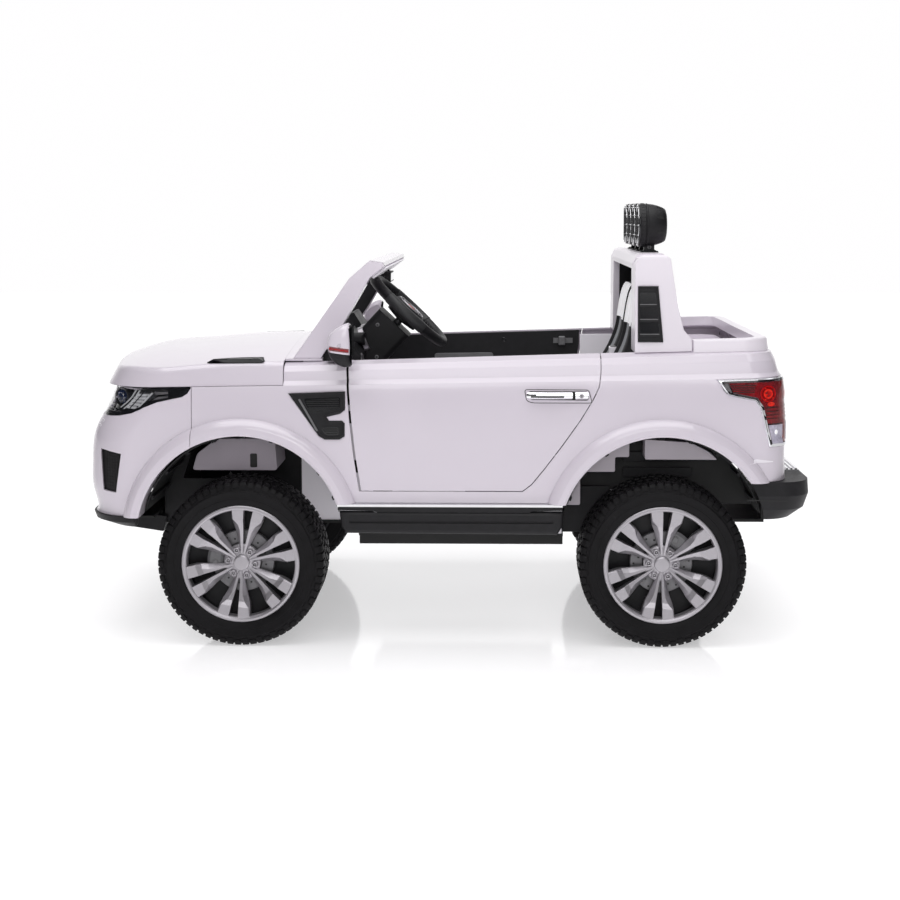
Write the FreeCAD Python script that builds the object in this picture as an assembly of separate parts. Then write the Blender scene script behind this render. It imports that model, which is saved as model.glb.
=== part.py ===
import FreeCAD, Part
import math
import os

V = FreeCAD.Vector

# Driving dimensions in millimetres. X runs to the nose, Y to the car's left, Z up, ground at Z = 0.
WHEELBASE = 827.0
FRONT_OVERHANG = 323.5
REAR_OVERHANG = 293.5
BODY_HALF = 352.0
WALL = 4.0
SEAM = 0.8
CLEAR = 0.3

# Wheels and axles
TYRE_R = 164.0
TYRE_W = 112.0
TYRE_OUT = BODY_HALF + 13.0
TYRE_IN = TYRE_OUT - TYRE_W
RIM_R = TYRE_R - 48.0
AXLE_R = 8.0
AXLE_Z = TYRE_R
KINGPIN_R = 15.0
KINGPIN_Y = TYRE_IN - 25.0
ARM_X = 57.0
CRANK_R = 34.0
TIE_T = 8.0
PEG_R = 5.0
SPOKE_PAIRS = 6

# Wheel arches and their flares
ARCH_R = TYRE_R + 38.0
ARCH_RISE = 52.0
ARCH_Z = AXLE_Z + ARCH_RISE
FLARE_W = 28.0
FLARE_OUT = 18.0

# Driver's controls
DRIVER_Y = BODY_HALF - 224.0
WHEEL_TILT = 43.1
STEER_R = 95.0
GRIP_R = 11.0

# Heights of the main lines
FLOOR_Z = AXLE_Z + 42.0
DECK_Z = FLOOR_Z + 6.0
TIE_Z = DECK_Z + 20.0
SILL_Z = DECK_Z + 72.0
DOOR_Z = SILL_Z + 23.0
TAIL_Z = SILL_Z + 44.0
BELT_Z = 566.5
ROLL_TOP_Z = 769.5
LAMP_Z = ROLL_TOP_Z + 55.5
LAMP_R = 44.0
LAMP_PITCH = 92.0

# Places along the car, worked out from the axles
LENGTH = FRONT_OVERHANG + WHEELBASE + REAR_OVERHANG
NOSE_X = LENGTH / 2
FRONT_X = NOSE_X - FRONT_OVERHANG
REAR_X = FRONT_X - WHEELBASE
TAIL_X = REAR_X - 150.0
BUMPER_X = NOSE_X - 229.5
COWL_X = FRONT_X - 85.0
DOOR_X = FRONT_X - 208.0
DOOR_REAR_X = REAR_X + 121.0
ROLL_X = REAR_X + 51.0
BED_X = REAR_X - 59.0
HINGE_X = DOOR_X - 0.5
HINGE_Y = BODY_HALF - 9.5
DOOR_GAP = 3.2
TRIM_Y = BODY_HALF - 52.0
TAIL_SPLIT = BODY_HALF - 90.0
LAMP_SPLIT = BODY_HALF / 2
FOG_Y = BODY_HALF - 202.0
BED_FLOOR = 412.0
FOOTWELL_TOP = 470.0
SHELF_Z = 480.0

# Half-widths of the inner box: the deck between the wheels, the foot of the bulkhead and the wide cabin floor
DECK_HALF = TYRE_IN - 81.0
FOOT_HALF = TYRE_IN - 85.0
CABIN_HALF = BODY_HALF - 60.0

# A length beyond the car on every side, for cutting blocks
FAR = 2000.0

# Door hinges: heights, where their posts meet the wing, barrel height and pin
HINGE_LEVELS = (352.0, 450.0)
HINGE_FEET = (352.0, 399.0)
HINGE_TALL = 24.0
PIN_R = 2.5

# Steering geometry: centre of the hand wheel, direction down the column, direction of the crank
TILT = math.radians(WHEEL_TILT)
STEER = V(FRONT_X - 317.5, DRIVER_Y, 648.0)
DOWN = V(math.sin(TILT), 0, -math.cos(TILT))
CRANK = V(math.cos(TILT), 0, math.sin(TILT))
SHAFT_LEN = 520.0
SHAFT_R = 8.0

# Start button and gear lever on the dash and its console
BUTTON_DIR = V(-1, 0, 0.12).normalize()
BUTTON = V(FRONT_X - 230.5, DRIVER_Y - 106, 545)
GEAR = V(FRONT_X - 246, 0, 430)
GEAR_RAKE = 52.0

# Middle of the accelerator pedal's pin
PEDAL = V(FRONT_X - 150, DRIVER_Y - 40, DECK_Z + 14)

# Seats
SEAT_Y = DRIVER_Y - 34.0
SEAT_W = 2 * (SEAT_Y - 6.0)
BACK_TILT = 8.0

# Body levels: height at X = 0, tilt, and insets from the side plane, the nose end and the tail end,
# then the nose corner radius and the sweep of its front face
LEVELS = (
    (255.0, 0.00, 8.0, 4.0, 47.0, 95.0, 5.0),
    (300.0, 0.00, 4.0, 1.0, 47.0, 95.0, 5.0),
    (350.0, 0.10, 1.0, 0.0, 48.0, 95.0, 5.0),
    (400.0, 0.30, 0.0, 3.0, 49.0, 96.0, 5.0),
    (430.0, 0.40, 0.0, 9.0, 49.0, 98.0, 5.5),
    (460.0, 0.60, 0.6, 20.0, 51.0, 102.0, 7.0),
    (495.0, 0.80, 2.5, 32.0, 53.0, 110.0, 9.0),
    (520.0, 0.95, 5.5, 40.0, 56.0, 118.0, 11.0),
)
SHOULDER = (
    (520.0, 0.95, 5.5, 40.0, 56.0, 118.0, 11.0),
    (529.0, 1.05, 14.0, 50.0, 62.0, 118.0, 11.0),
    (548.0, 1.35, 17.0, 56.0, 68.0, 118.0, 11.0),
    (560.0, 1.60, 25.0, 66.0, 74.0, 118.0, 11.0),
    (BELT_Z, 1.72, 44.0, 86.0, 84.0, 118.0, 11.0),
)
TAIL_CORNER = 60.0


# Small helpers
def box(x0, x1, y0, y1, z0, z1):
    return Part.makeBox(x1 - x0, y1 - y0, z1 - z0, V(x0, y0, z0))


def cyl(base, axis, radius, height):
    return Part.makeCylinder(radius, height, base, axis)


def polygon(points):
    return Part.Face(Part.makePolygon(list(points) + [points[0]]))


def prism_y(points, y0, y1):
    return polygon([V(x, y0, z) for x, z in points]).extrude(V(0, y1 - y0, 0))


def prism_x(points, x0, x1):
    return polygon([V(x0, y, z) for y, z in points]).extrude(V(x1 - x0, 0, 0))


def prism_z(points, z0, z1):
    return polygon([V(x, y, z0) for x, y in points]).extrude(V(0, 0, z1 - z0))


def mirrored(shape):
    return shape.mirror(V(0, 0, 0), V(0, 1, 0))


def both(shape):
    return [shape, mirrored(shape)]


def fuse(shapes):
    first = shapes[0]
    return first.fuse(list(shapes[1:])).removeSplitter() if len(shapes) > 1 else first


def lean(shape, degrees, y, z):
    return shape.rotated(V(0, y, z), V(1, 0, 0), degrees)


def softened(shape, radius, pick):
    """Round the edges that pick() accepts; keep the sharp shape if that does not work out."""
    edges = [e for e in shape.Edges if pick(e)]
    try:
        done = shape.makeFillet(radius, edges)
        return done if done.isValid() else shape
    except Part.OCCError:
        return shape


def placed(shape, across, along, origin):
    """Set a shape's X, Y and Z along across, along x across and along, at origin."""
    side = along.cross(across)
    frame = FreeCAD.Matrix(across.x, side.x, along.x, origin.x, across.y, side.y, along.y, origin.y,
                           across.z, side.z, along.z, origin.z, 0, 0, 0, 1)
    return shape.transformed(frame, copy=True)


def flat_in_y(edge):
    """True for an edge whose ends lie at the same Y."""
    a = edge.Vertexes[0].Point
    b = edge.Vertexes[-1].Point
    return abs(a.y - b.y) < 0.01


def inset_outline(points, amount):
    """Move a closed polygon inward by amount; points run around it either way."""
    area = sum(a[0] * b[1] - b[0] * a[1] for a, b in zip(points, points[1:] + points[:1]))
    sign = 1.0 if area > 0 else -1.0
    moved = []
    for before, here, after in zip(points[-1:] + points[:-1], points, points[1:] + points[:1]):
        d1 = (here[0] - before[0], here[1] - before[1])
        d2 = (after[0] - here[0], after[1] - here[1])
        l1 = math.hypot(*d1)
        l2 = math.hypot(*d2)
        n = (-d1[1] / l1 - d2[1] / l2, d1[0] / l1 + d2[0] / l2)
        size = n[0] * n[0] + n[1] * n[1]
        moved.append((here[0] + sign * amount * 2 * n[0] / size, here[1] + sign * amount * 2 * n[1] / size))
    return moved


# Body surface
def plan_wire(z, tilt, half, nose, tail, corner, sweep, rear=TAIL_CORNER):
    a = math.radians(sweep)
    bow = (half - corner * (1 - math.sin(a))) / math.sin(a)
    side_x = nose - corner * math.cos(a) - bow * (1 - math.cos(a))
    middle = (a + math.pi / 2) / 2

    def at(angle, side):
        return V(side_x + corner * math.cos(angle), side * (half - corner + corner * math.sin(angle)), 0)

    def back(angle, side):
        return V(tail + rear - rear * math.cos(angle), side * (half - rear + rear * math.sin(angle)), 0)

    quarter = math.pi / 2
    edges = [
        Part.Arc(at(a, -1), V(nose, 0, 0), at(a, 1)),
        Part.Arc(at(a, 1), at(middle, 1), at(quarter, 1)),
        Part.LineSegment(at(quarter, 1), back(quarter, 1)),
        Part.Arc(back(quarter, 1), back(quarter / 2, 1), back(0, 1)),
        Part.LineSegment(back(0, 1), back(0, -1)),
        Part.Arc(back(0, -1), back(quarter / 2, -1), back(quarter, -1)),
        Part.LineSegment(back(quarter, -1), at(quarter, -1)),
        Part.Arc(at(quarter, -1), at(middle, -1), at(a, -1)),
    ]
    wire = Part.Wire([e.toShape() for e in edges])
    wire.rotate(V(0, 0, 0), V(0, 1, 0), tilt)
    wire.translate(V(0, 0, z))
    return wire


def level_wire(level, inward, drop):
    z, tilt, side, nose, tail, corner, sweep = level
    half = BODY_HALF - side - inward
    return plan_wire(z - drop, tilt, half, NOSE_X - nose - inward, tail - NOSE_X + inward, corner, sweep)


def offsets(levels, amount):
    """Inward and downward shift of each level for a wall of the given thickness."""
    shifts = []
    for i, here in enumerate(levels):
        before = levels[max(i - 1, 0)]
        after = levels[min(i + 1, len(levels) - 1)]
        normals = []
        for p, q in ((before, here), (here, after)):
            dz = q[0] - p[0]
            dh = p[2] - q[2]
            size = math.hypot(dz, dh)
            if size:
                normals.append((dz / size, -dh / size))
        nx = sum(n[0] for n in normals)
        nz = sum(n[1] for n in normals)
        scale = amount * len(normals) / (nx * nx + nz * nz)
        shifts.append((nx * scale, nz * scale))
    return shifts


def lower_solid(inward, extend):
    """The body below the seam line, moved in by inward, run on up and down by extend."""
    wires = [level_wire(level, inward, 0) for level in LEVELS]
    core = Part.makeLoft(wires, True, False)
    if not extend:
        return core
    foot = level_wire(LEVELS[0], inward, extend)
    head = level_wire(LEVELS[-1], inward, -extend)
    ends = [Part.makeLoft(pair, True, True) for pair in ([foot, wires[0]], [wires[-1], head])]
    return fuse([ends[0], core, ends[1]])


def upper_solid(inward, extend):
    """The shoulder from the seam line up to the belt, moved in by inward along its normals."""
    shifts = offsets(SHOULDER, inward)
    shifts[0] = (inward, 0.0)
    wires = [level_wire(level, dx, dz) for level, (dx, dz) in zip(SHOULDER, shifts)]
    if extend:
        wires.insert(0, level_wire(SHOULDER[0], inward, extend))
        wires.append(level_wire(SHOULDER[-1], shifts[-1][0], shifts[-1][1] - extend))
    return Part.makeLoft(wires, True, True)


OUTER_LOW = lower_solid(0.0, 0.0)
OUTER_TOP = upper_solid(0.0, 0.0)
INNER_LOW = lower_solid(WALL, 30.0)
INNER_TOP = upper_solid(WALL, 30.0)
SKIN_LOW = OUTER_LOW.cut(INNER_LOW)
SKIN_TOP = OUTER_TOP.cut(INNER_TOP)


def skin_patch(outline, y0, y1, out, thick):
    """A piece of skin cut by an outline in the side view, standing out from the body surface."""
    block = prism_y(outline, y0, y1)
    return lower_solid(-out, 0.0).common(block).cut(lower_solid(thick - out, 30.0))


def arch_cut(x, radius):
    return cyl(V(x, -BODY_HALF - 60, ARCH_Z), V(0, 1, 0), radius, 2 * BODY_HALF + 120)


def flare(x):
    """One left arch lip, turned about the arch centre and open below."""
    low = ARCH_Z + ARCH_R
    high = low + FLARE_W
    out = BODY_HALF + FLARE_OUT
    inner = BODY_HALF - 34
    face = [V(x, inner, low), V(x, out - 3, low), V(x, out, low + 4), V(x, out - 0.5, low + 16)]
    crest = [V(x, out - 5, high - 4), V(x, BODY_HALF - 0.6, high + 5)]
    under = [V(x, BODY_HALF - 3.5, high + 4), V(x, out - 10, high - 6), V(x, out - 5, low + 14)]
    root = [V(x, out - 6, low + 5), V(x, inner, low + 5)]
    edges = [
        Part.LineSegment(face[0], face[1]),
        Part.LineSegment(face[1], face[2]),
        Part.LineSegment(face[2], face[3]),
        Part.Arc(face[3], crest[0], crest[1]),
        Part.LineSegment(crest[1], under[0]),
        Part.Arc(under[0], under[1], under[2]),
        Part.LineSegment(under[2], root[0]),
        Part.LineSegment(root[0], root[1]),
        Part.LineSegment(root[1], face[0]),
    ]
    lip = Part.Face(Part.Wire([e.toShape() for e in edges]))
    return lip.revolve(V(x, 0, ARCH_Z), V(0, 1, 0), 360)


# Outlines in the side view, hung on the nose and the axles
def from_nose(points):
    return [(NOSE_X + dx, z) for dx, z in points]


def from_front(points):
    return [(FRONT_X + dx, z) for dx, z in points]


def from_rear(points):
    return [(REAR_X + dx, z) for dx, z in points]


def door_outline():
    front = [(1, 600), (0, 554), (-2.5, 500), (-6.5, 449), (-14, 380), (-25, DOOR_Z)]
    low = [(153, DOOR_Z), (135, DOOR_Z + 14), (110, 352), (74, 400), (39, 450)]
    high = [(16, 488), (4, 513), (0, 540), (0, 600)]
    return [(DOOR_X + dx, z) for dx, z in front] + [(DOOR_REAR_X + dx, z) for dx, z in low + high]


def headlight_outline():
    low = [(16, 448), (-60, 451), (-86, 454), (-112, 460), (-128, 467), (-145, 477), (-162, 483), (-211, 492)]
    return from_nose(low + [(-222, 499), (-228.5, 509), (-228.5, 512), (-144, 512), (-84, 513), (16, 513)])


def fog_outline():
    return from_nose([(-45, 388), (-90, 380), (-77, 302), (-49, 305)])


def vent_outline():
    upper = [(-99, 496), (-96, 500), (-207, 504), (-207, 468), (-198, 461), (-170, 454), (-176, 447)]
    lower = [(-201, 447), (-206, 442), (-206, 416), (-196, 410), (-166, 410), (-155, 417)]
    return from_front(upper + lower)


def tail_outline():
    low = [(-300, 396), (-205, 397), (-195, 436), (-186, 473), (-176, 487), (-140, 494), (-124, 498)]
    return from_rear(low + [(-110, 518), (-101, 528), (-240, 533), (-300, 533)])


def low_cut():
    """What is taken off below the sills and below the tail."""
    sill = box(REAR_X, FRONT_X, -FAR, FAR, 0, SILL_Z)
    tail = box(-FAR, REAR_X, -FAR, FAR, 0, TAIL_Z)
    return [sill, tail]


# Body panels
def body_side():
    """Left wing, rocker and rear quarter in one panel with the pins of the door hinge."""
    front = BUMPER_X - SEAM
    low = SKIN_LOW.common(box(-FAR, front, 0, FAR, 0, FAR))
    top = SKIN_TOP.common(box(-FAR, COWL_X - SEAM, 0, FAR, 0, FAR))
    panel = low.fuse([top])
    panel = panel.cut([arch_cut(FRONT_X, ARCH_R + 3), arch_cut(REAR_X, ARCH_R + 3)])
    keep = box(-FAR, front, 0, FAR, SILL_Z, FAR)
    panel = fuse([panel] + [flare(x).common(keep) for x in (FRONT_X, REAR_X)])
    cuts = low_cut() + [prism_y(door_outline(), BODY_HALF - 152, FAR)]
    cuts.append(prism_y(tail_outline(), TAIL_SPLIT, FAR))
    cuts.append(box(-FAR, TAIL_X, -1, TAIL_SPLIT, 0, FAR))
    cuts.append(prism_y(vent_outline(), TRIM_Y, FAR))
    panel = panel.cut(cuts)
    return fuse([panel] + [hinge_bracket(z, foot) for z, foot in zip(HINGE_LEVELS, HINGE_FEET)])


def hinge_bracket(z, foot):
    """Two ears and a pin around the door's hinge barrel, on a post that meets the wing at foot."""
    low = z - HINGE_TALL / 2
    high = z + HINGE_TALL / 2
    x0, x1 = HINGE_X + 14, HINGE_X + 26
    inner = HINGE_Y - 5.5
    parts = [box(HINGE_X - 5, x1, inner, HINGE_Y + 4.2, base, base + 4) for base in (low - 4.4, high + 0.4)]
    parts.append(box(x0, x1, inner, HINGE_Y + 1, min(low - 4.4, foot - 7), high + 4.4))
    parts.append(box(x0, x1, inner, BODY_HALF - 2, foot - 7, foot + 7))
    parts.append(cyl(V(HINGE_X, HINGE_Y, low - 4.4), V(0, 0, 1), PIN_R, HINGE_TALL + 8.8))
    return fuse(parts)


def door_panel():
    outline = inset_outline(door_outline(), DOOR_GAP / 2)
    front = [(x - DOOR_GAP * 0.8, z) for x, z in outline]
    inner = BODY_HALF - 102
    block = prism_y(outline, inner, FAR).common(prism_y(front, inner, FAR))
    return fuse([SKIN_LOW.common(block), SKIN_TOP.common(block)])


def door_trim():
    """Inner panel of the left door: a tray that meets the outer skin, with its hinge arms."""
    rim = inset_outline(door_outline(), 9)
    hollow = inset_outline(door_outline(), 13)
    inside = lower_solid(WALL + 0.1, 0.0).fuse([upper_solid(WALL + 0.1, 0.0)])
    tray = prism_y(rim, TRIM_Y, BODY_HALF + 5).common(inside)
    tray = tray.cut(prism_y(hollow, TRIM_Y + 4, BODY_HALF + 5))
    return fuse([tray] + [hinge_arm(z) for z in HINGE_LEVELS])


def hinge_arm(z):
    low = z - HINGE_TALL / 2
    barrel = cyl(V(HINGE_X, HINGE_Y, low), V(0, 0, 1), PIN_R + 1.6, HINGE_TALL)
    path = [(3, 0), (3, -24), (-40, -24), (-40, -18), (-3, -18), (-3, 0)]
    arm = prism_z([(HINGE_X + dx, HINGE_Y + dy) for dx, dy in path], low, low + HINGE_TALL)
    pin = cyl(V(HINGE_X, HINGE_Y, low - 1), V(0, 0, 1), PIN_R + CLEAR, HINGE_TALL + 2)
    return barrel.fuse([arm]).cut(pin)


def door_handle():
    plate = from_rear([(138, 481), (146, 508), (272, 509), (268, 486), (255, 481)])
    grip = from_rear([(160, 490), (162, 503), (262, 504), (258, 491)])
    base = skin_patch(plate, TRIM_Y, FAR, 2.0, 1.9)
    bar = skin_patch(grip, TRIM_Y, FAR, 7.0, 5.0)
    return fuse([base, bar])


def door_latch():
    """Sliding bolt on the inner face of the left door, drawn back at rest."""
    x = DOOR_REAR_X + 24
    bolt = box(x, x + 46, TRIM_Y - 5, TRIM_Y - CLEAR, 541, 553)
    knob = box(x + 18, x + 34, TRIM_Y - 15, TRIM_Y - 4, 536, 558)
    return fuse([bolt, softened(knob, 3.0, lambda e: True)])


def tail_panel():
    slab = box(-FAR, TAIL_X, -TAIL_SPLIT + SEAM, TAIL_SPLIT - SEAM, TAIL_Z, FAR)
    return SKIN_LOW.common(slab).fuse([SKIN_TOP.common(slab)]).removeSplitter()


def grille_cut(low_half, high_half, z0, z1):
    """A block through the nose that widens upward, for a grille or its opening."""
    corners = [(-low_half, z0), (-high_half, z1), (high_half, z1), (low_half, z0)]
    return prism_x(corners, NOSE_X - 122, FAR)


def lower_grille(grow):
    return grille_cut(BODY_HALF - 147 + grow, BODY_HALF - 127 + grow, 318 - grow, 386 + grow)


def front_bumper():
    block = box(BUMPER_X, FAR, -FAR, FAR, 0, FAR)
    panel = SKIN_LOW.common(block).cut(arch_cut(FRONT_X, ARCH_R + 3))
    lip = flare(FRONT_X).common(box(BUMPER_X, FAR, 0, FAR, LEVELS[0][0] + 1, FAR))
    panel = fuse([panel] + both(lip))
    lamp = prism_y(headlight_outline(), LAMP_SPLIT, FAR)
    fog = prism_y(fog_outline(), FOG_Y, FAR)
    upper = grille_cut(LAMP_SPLIT - 14, LAMP_SPLIT - 4, 452, 530)
    return panel.cut(both(lamp) + both(fog) + [upper, lower_grille(0)])


def front_lip():
    rows = ((231, 16, 34), (243, 4, 5), (LEVELS[0][0] - 0.4, 3, 1))
    wires = [plan_wire(z, 0, BODY_HALF - side, NOSE_X - nose, 0, 95, 5) for z, side, nose in rows]
    outer = Part.makeLoft(wires, True, True)
    hollow = [plan_wire(z, 0, BODY_HALF - 30, NOSE_X - 48, 0, 95, 5) for z in (220, 270)]
    front = [(FRONT_X + 219, 200), (FRONT_X + 205, 270), (FAR, 270), (FAR, 200)]
    lip = outer.cut(Part.makeLoft(hollow, True, True)).common(prism_y(front, -FAR, FAR))
    return lip.cut(arch_cut(FRONT_X, ARCH_R))


def rear_bumper():
    rows = ((TAIL_Z - 78, 24, 32), (TAIL_Z - 56, 8, 8), (TAIL_Z - 28, 2, 0), (TAIL_Z - CLEAR, 3, 2))

    def shape(inward, lift):
        wires = []
        for z, side, tail in rows:
            wires.append(plan_wire(z + lift, 0, BODY_HALF - side - inward, 0, tail - NOSE_X + inward, 95, 5))
        return Part.makeLoft(wires, True, True)

    low = TAIL_Z - 88
    high = TAIL_Z + 5
    rear = prism_y([(TAIL_X + 1, high), (TAIL_X - 34, low), (-FAR, low), (-FAR, high)], -FAR, FAR)
    shell = shape(0, 0).cut([shape(6, -6), arch_cut(REAR_X, ARCH_R + 1)]).common(rear)
    hole = plan_wire(TAIL_Z - 30, 0, BODY_HALF - 30, 0, 80 - NOSE_X, 95, 5)
    return shell.cut(Part.Face(hole).extrude(V(0, 0, 60)))


def hood_solid(inward, drop):
    """The hood filled in, moved in by inward, with its foot run down by drop."""
    z = LEVELS[-1][0] + 0.5 - drop
    foot = plan_wire(z, 0.95, BODY_HALF - 8 - inward, NOSE_X - 12 - inward, 0, 130, 14)
    head = plan_wire(620, 0.95, BODY_HALF - 24 - inward, NOSE_X - 66 - inward, 0, 130, 14)
    block = Part.makeLoft([foot, head], True, True)
    crest = from_nose([(20, 540), (-26, 548), (-53, 557), (-162, 574), (-272, 583), (-370, 586.5)])
    edge = BODY_HALF + 48
    sections = []
    for x, z in crest + [(COWL_X - 63, 588)]:
        side = z - 39 - inward
        arc = Part.Arc(V(x, -edge, side), V(x, 0, z - inward), V(x, edge, side)).toShape()
        base = Part.makePolygon([V(x, edge, side), V(x, edge, 450), V(x, -edge, 450), V(x, -edge, side)])
        sections.append(Part.Wire([arc] + base.Edges))
    solid = block.common(Part.makeLoft(sections, True, False))
    return softened(solid, 15.0 - inward, lambda e: e.BoundBox.ZMin > 528 and e.BoundBox.XMax > COWL_X)


def hood_shell():
    shell = hood_solid(0, 0).cut(hood_solid(WALL, 40))
    return shell.common(box(COWL_X, FAR, -FAR, FAR, 0, FAR))


def hood():
    return hood_shell().cut(both(prism_y(hood_vent_outline(), BODY_HALF - 60, FAR)))


def hood_vent_outline():
    return from_nose([(-257, 556), (-271, 566), (-359, 568), (-372, 560), (-363, 557)])


def cowl_panel():
    """Curved panel between the hood and the screen."""
    x = COWL_X - 74
    edge = BODY_HALF - 40
    arc = Part.Arc(V(x, -edge, 564.5), V(x, 0, 588), V(x, edge, 564.5)).toShape()
    under = Part.Arc(V(x, edge, 560), V(x, 0, 583), V(x, -edge, 560)).toShape()
    left = Part.LineSegment(V(x, edge, 564.5), V(x, edge, 560)).toShape()
    right = Part.LineSegment(V(x, -edge, 560), V(x, -edge, 564.5)).toShape()
    return Part.Face(Part.Wire([arc, left, under, right])).extrude(V(74 - SEAM, 0, 0))


def cowl_frame():
    """Cowl panel behind the hood, screen pillars and header in one white moulding."""
    top = [(-253, 724), (-281, 746), (-278, 753), (-252, 757)]
    side = from_front([(-100, 563), (-154, 563), (-202, 636)] + top + [(-212, 722)])
    outer = BODY_HALF - 39
    pillar = lean(prism_y(side, outer - 30, outer), 3.2, outer, 563)
    pillar = softened(pillar, 7.0, flat_in_y)
    header = prism_y(from_front(top + [(-226, 734)]), 62 - BODY_HALF, BODY_HALF - 62)
    header = softened(header, 6.0, lambda e: not flat_in_y(e))
    return fuse([cowl_panel()] + both(pillar) + [header])


def roll_bar():
    base_z = BELT_Z + 11
    top = ROLL_TOP_Z
    crown = [(3.5, top - 20), (-4, top - 5), (-14, top), (-56, top), (-66, top - 8)]
    leg = [(3.5, base_z)] + crown + [(-80, 671), (-92, 622), (-108, 604), (-108, base_z + 3)]
    outer = BODY_HALF - 36
    post = prism_y([(ROLL_X + dx, z) for dx, z in leg], outer - 80, outer)
    post = lean(post, 4.0, outer, base_z)
    post = softened(post, 9.0, lambda e: flat_in_y(e) and e.BoundBox.ZMax > base_z + 30)
    bar = [(3.5, top - 30)] + crown + [(-70, top - 30)]
    beam = prism_y([(ROLL_X + dx, z) for dx, z in bar], 102 - BODY_HALF, BODY_HALF - 102)
    solid = fuse(both(post) + [beam])
    return solid.cut(both(roll_vent(0.0, -40.0, -22.0)) + [OUTER_TOP])


def roll_vent(inward, y0, y1):
    """Louvre plate on the outer face of the left leg, or its pocket; y0 and y1 count from the body side."""
    side = [(ROLL_X - 2, 598), (ROLL_X - 2, 708), (ROLL_X - 42, 708), (ROLL_X - 52, 598)]
    plate = prism_y(inset_outline(side, inward), BODY_HALF + y0, BODY_HALF + y1)
    return lean(plate, 4.0, BODY_HALF - 36, BELT_Z + 11)


def roll_bar_panel():
    """Black panel closing the hoop behind the seats, with a liner on each leg."""
    x = ROLL_X - 62
    half = BODY_HALF - 90
    plate = box(x - 4, x, -half, half, BELT_Z - 30, ROLL_TOP_Z - 24)
    cheek = box(x - 4, ROLL_X - 10, BODY_HALF - 119, BODY_HALF - 116, BELT_Z + 16, ROLL_TOP_Z - 24)
    cheek = lean(cheek, 4.0, BODY_HALF - 36, BELT_Z + 11)
    return fuse([plate] + both(cheek)).cut(roll_bar())


def bed_tub():
    low = plan_wire(BELT_Z - 8, 1.72, BODY_HALF - 33, 0, 79 - NOSE_X, 95, 5, 52)
    high = plan_wire(BELT_Z + 21, 1.72, BODY_HALF - 37, 0, 83 - NOSE_X, 95, 5, 50)
    rim = softened(Part.makeLoft([low, high], True, True), 5.0, lambda e: e.BoundBox.ZMin > BELT_Z + 5)
    outside = plan_wire(BED_FLOOR, 0, BODY_HALF - 57, 0, 103 - NOSE_X, 95, 5, 34)
    inside = plan_wire(BED_FLOOR + WALL, 0, BODY_HALF - 61, 0, 107 - NOSE_X, 95, 5, 30)
    tub = Part.Face(outside).extrude(V(0, 0, BELT_Z - 4 - BED_FLOOR))
    well = Part.Face(inside).extrude(V(0, 0, FAR))
    shell = rim.cut(OUTER_TOP).fuse([tub])
    back = box(-FAR, BED_X - SEAM, -FAR, FAR, 0, FAR)
    wall = box(BED_X - 6, BED_X - SEAM, 57 - BODY_HALF, BODY_HALF - 57, BED_FLOOR, BELT_Z + 24)
    return fuse([shell.common(back).cut(well), wall])


# Chassis and running gear
def floor_pan():
    """Deck plate with a keel box, front skid, axle hangers, ribs and a post under the tail."""
    step0 = REAR_X + 192
    step1 = FRONT_X - 226
    wide = CABIN_HALF - 2
    slim = TYRE_IN - 103
    edge = [(FRONT_X + 200, DECK_HALF), (step1, DECK_HALF), (step1, wide), (step0, wide), (step0, slim)]
    edge.append((REAR_X - 190, slim))
    deck = prism_z(edge + [(x, -y) for x, y in reversed(edge)], FLOOR_Z, DECK_Z)
    half = BODY_HALF - 142
    keel = box(step0 + 58, step1 - 4, -half, half, FLOOR_Z - 34, FLOOR_Z)
    keel = keel.cut(box(step0 + 62, step1 - 8, 4 - half, half - 4, FLOOR_Z - 30, FLOOR_Z + 1))
    skid = box(FRONT_X + 196, NOSE_X - 61, 102 - BODY_HALF, BODY_HALF - 102, FLOOR_Z + 25.5, FLOOR_Z + 30)
    riser = box(FRONT_X + 196, FRONT_X + 200, -DECK_HALF, DECK_HALF, FLOOR_Z, FLOOR_Z + 30)
    tail = box(60 - NOSE_X, REAR_X - 186, -slim, slim, FLOOR_Z, DECK_Z)
    post = box(60 - NOSE_X, 66 - NOSE_X, -slim, slim, FLOOR_Z, TAIL_Z - 6.6)
    parts = [deck, keel, skid, riser, tail, post] + both(axle_hanger(slim + 8))
    parts += both(box(step0, step1, wide - 24, wide - 16, FLOOR_Z - 20, FLOOR_Z))
    parts += both(box(REAR_X + 20, step0, slim, slim + 20, FLOOR_Z, DECK_Z))
    return fuse(parts)


def axle_hanger(y):
    ear = box(REAR_X - 22, REAR_X + 22, y, y + 8, AXLE_Z - 20, FLOOR_Z)
    return ear.cut(cyl(V(REAR_X, y - 1, AXLE_Z), V(0, 1, 0), AXLE_R + 0.05, 10))


def front_axle_beam():
    """Cross beam with a fork at each end that holds the kingpin of an upright."""
    x0 = FRONT_X - KINGPIN_R
    x1 = FRONT_X + KINGPIN_R
    web = KINGPIN_Y - 38
    parts = [box(x0, x1, -web - 6, web + 6, FLOOR_Z - 30, FLOOR_Z)]
    fork = [box(x0, x1, web, web + 12, AXLE_Z - 36, AXLE_Z + 50)]
    for z in (AXLE_Z - 36, AXLE_Z + 44):
        fork.append(box(x0, x1, web, KINGPIN_Y, z, z + 6))
        fork.append(cyl(V(FRONT_X, KINGPIN_Y, z), V(0, 0, 1), KINGPIN_R, 6))
    hole = cyl(V(FRONT_X, KINGPIN_Y, 0), V(0, 0, 1), AXLE_R + CLEAR, FAR)
    return fuse(parts + both(fuse(fork).cut(hole)))


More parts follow.
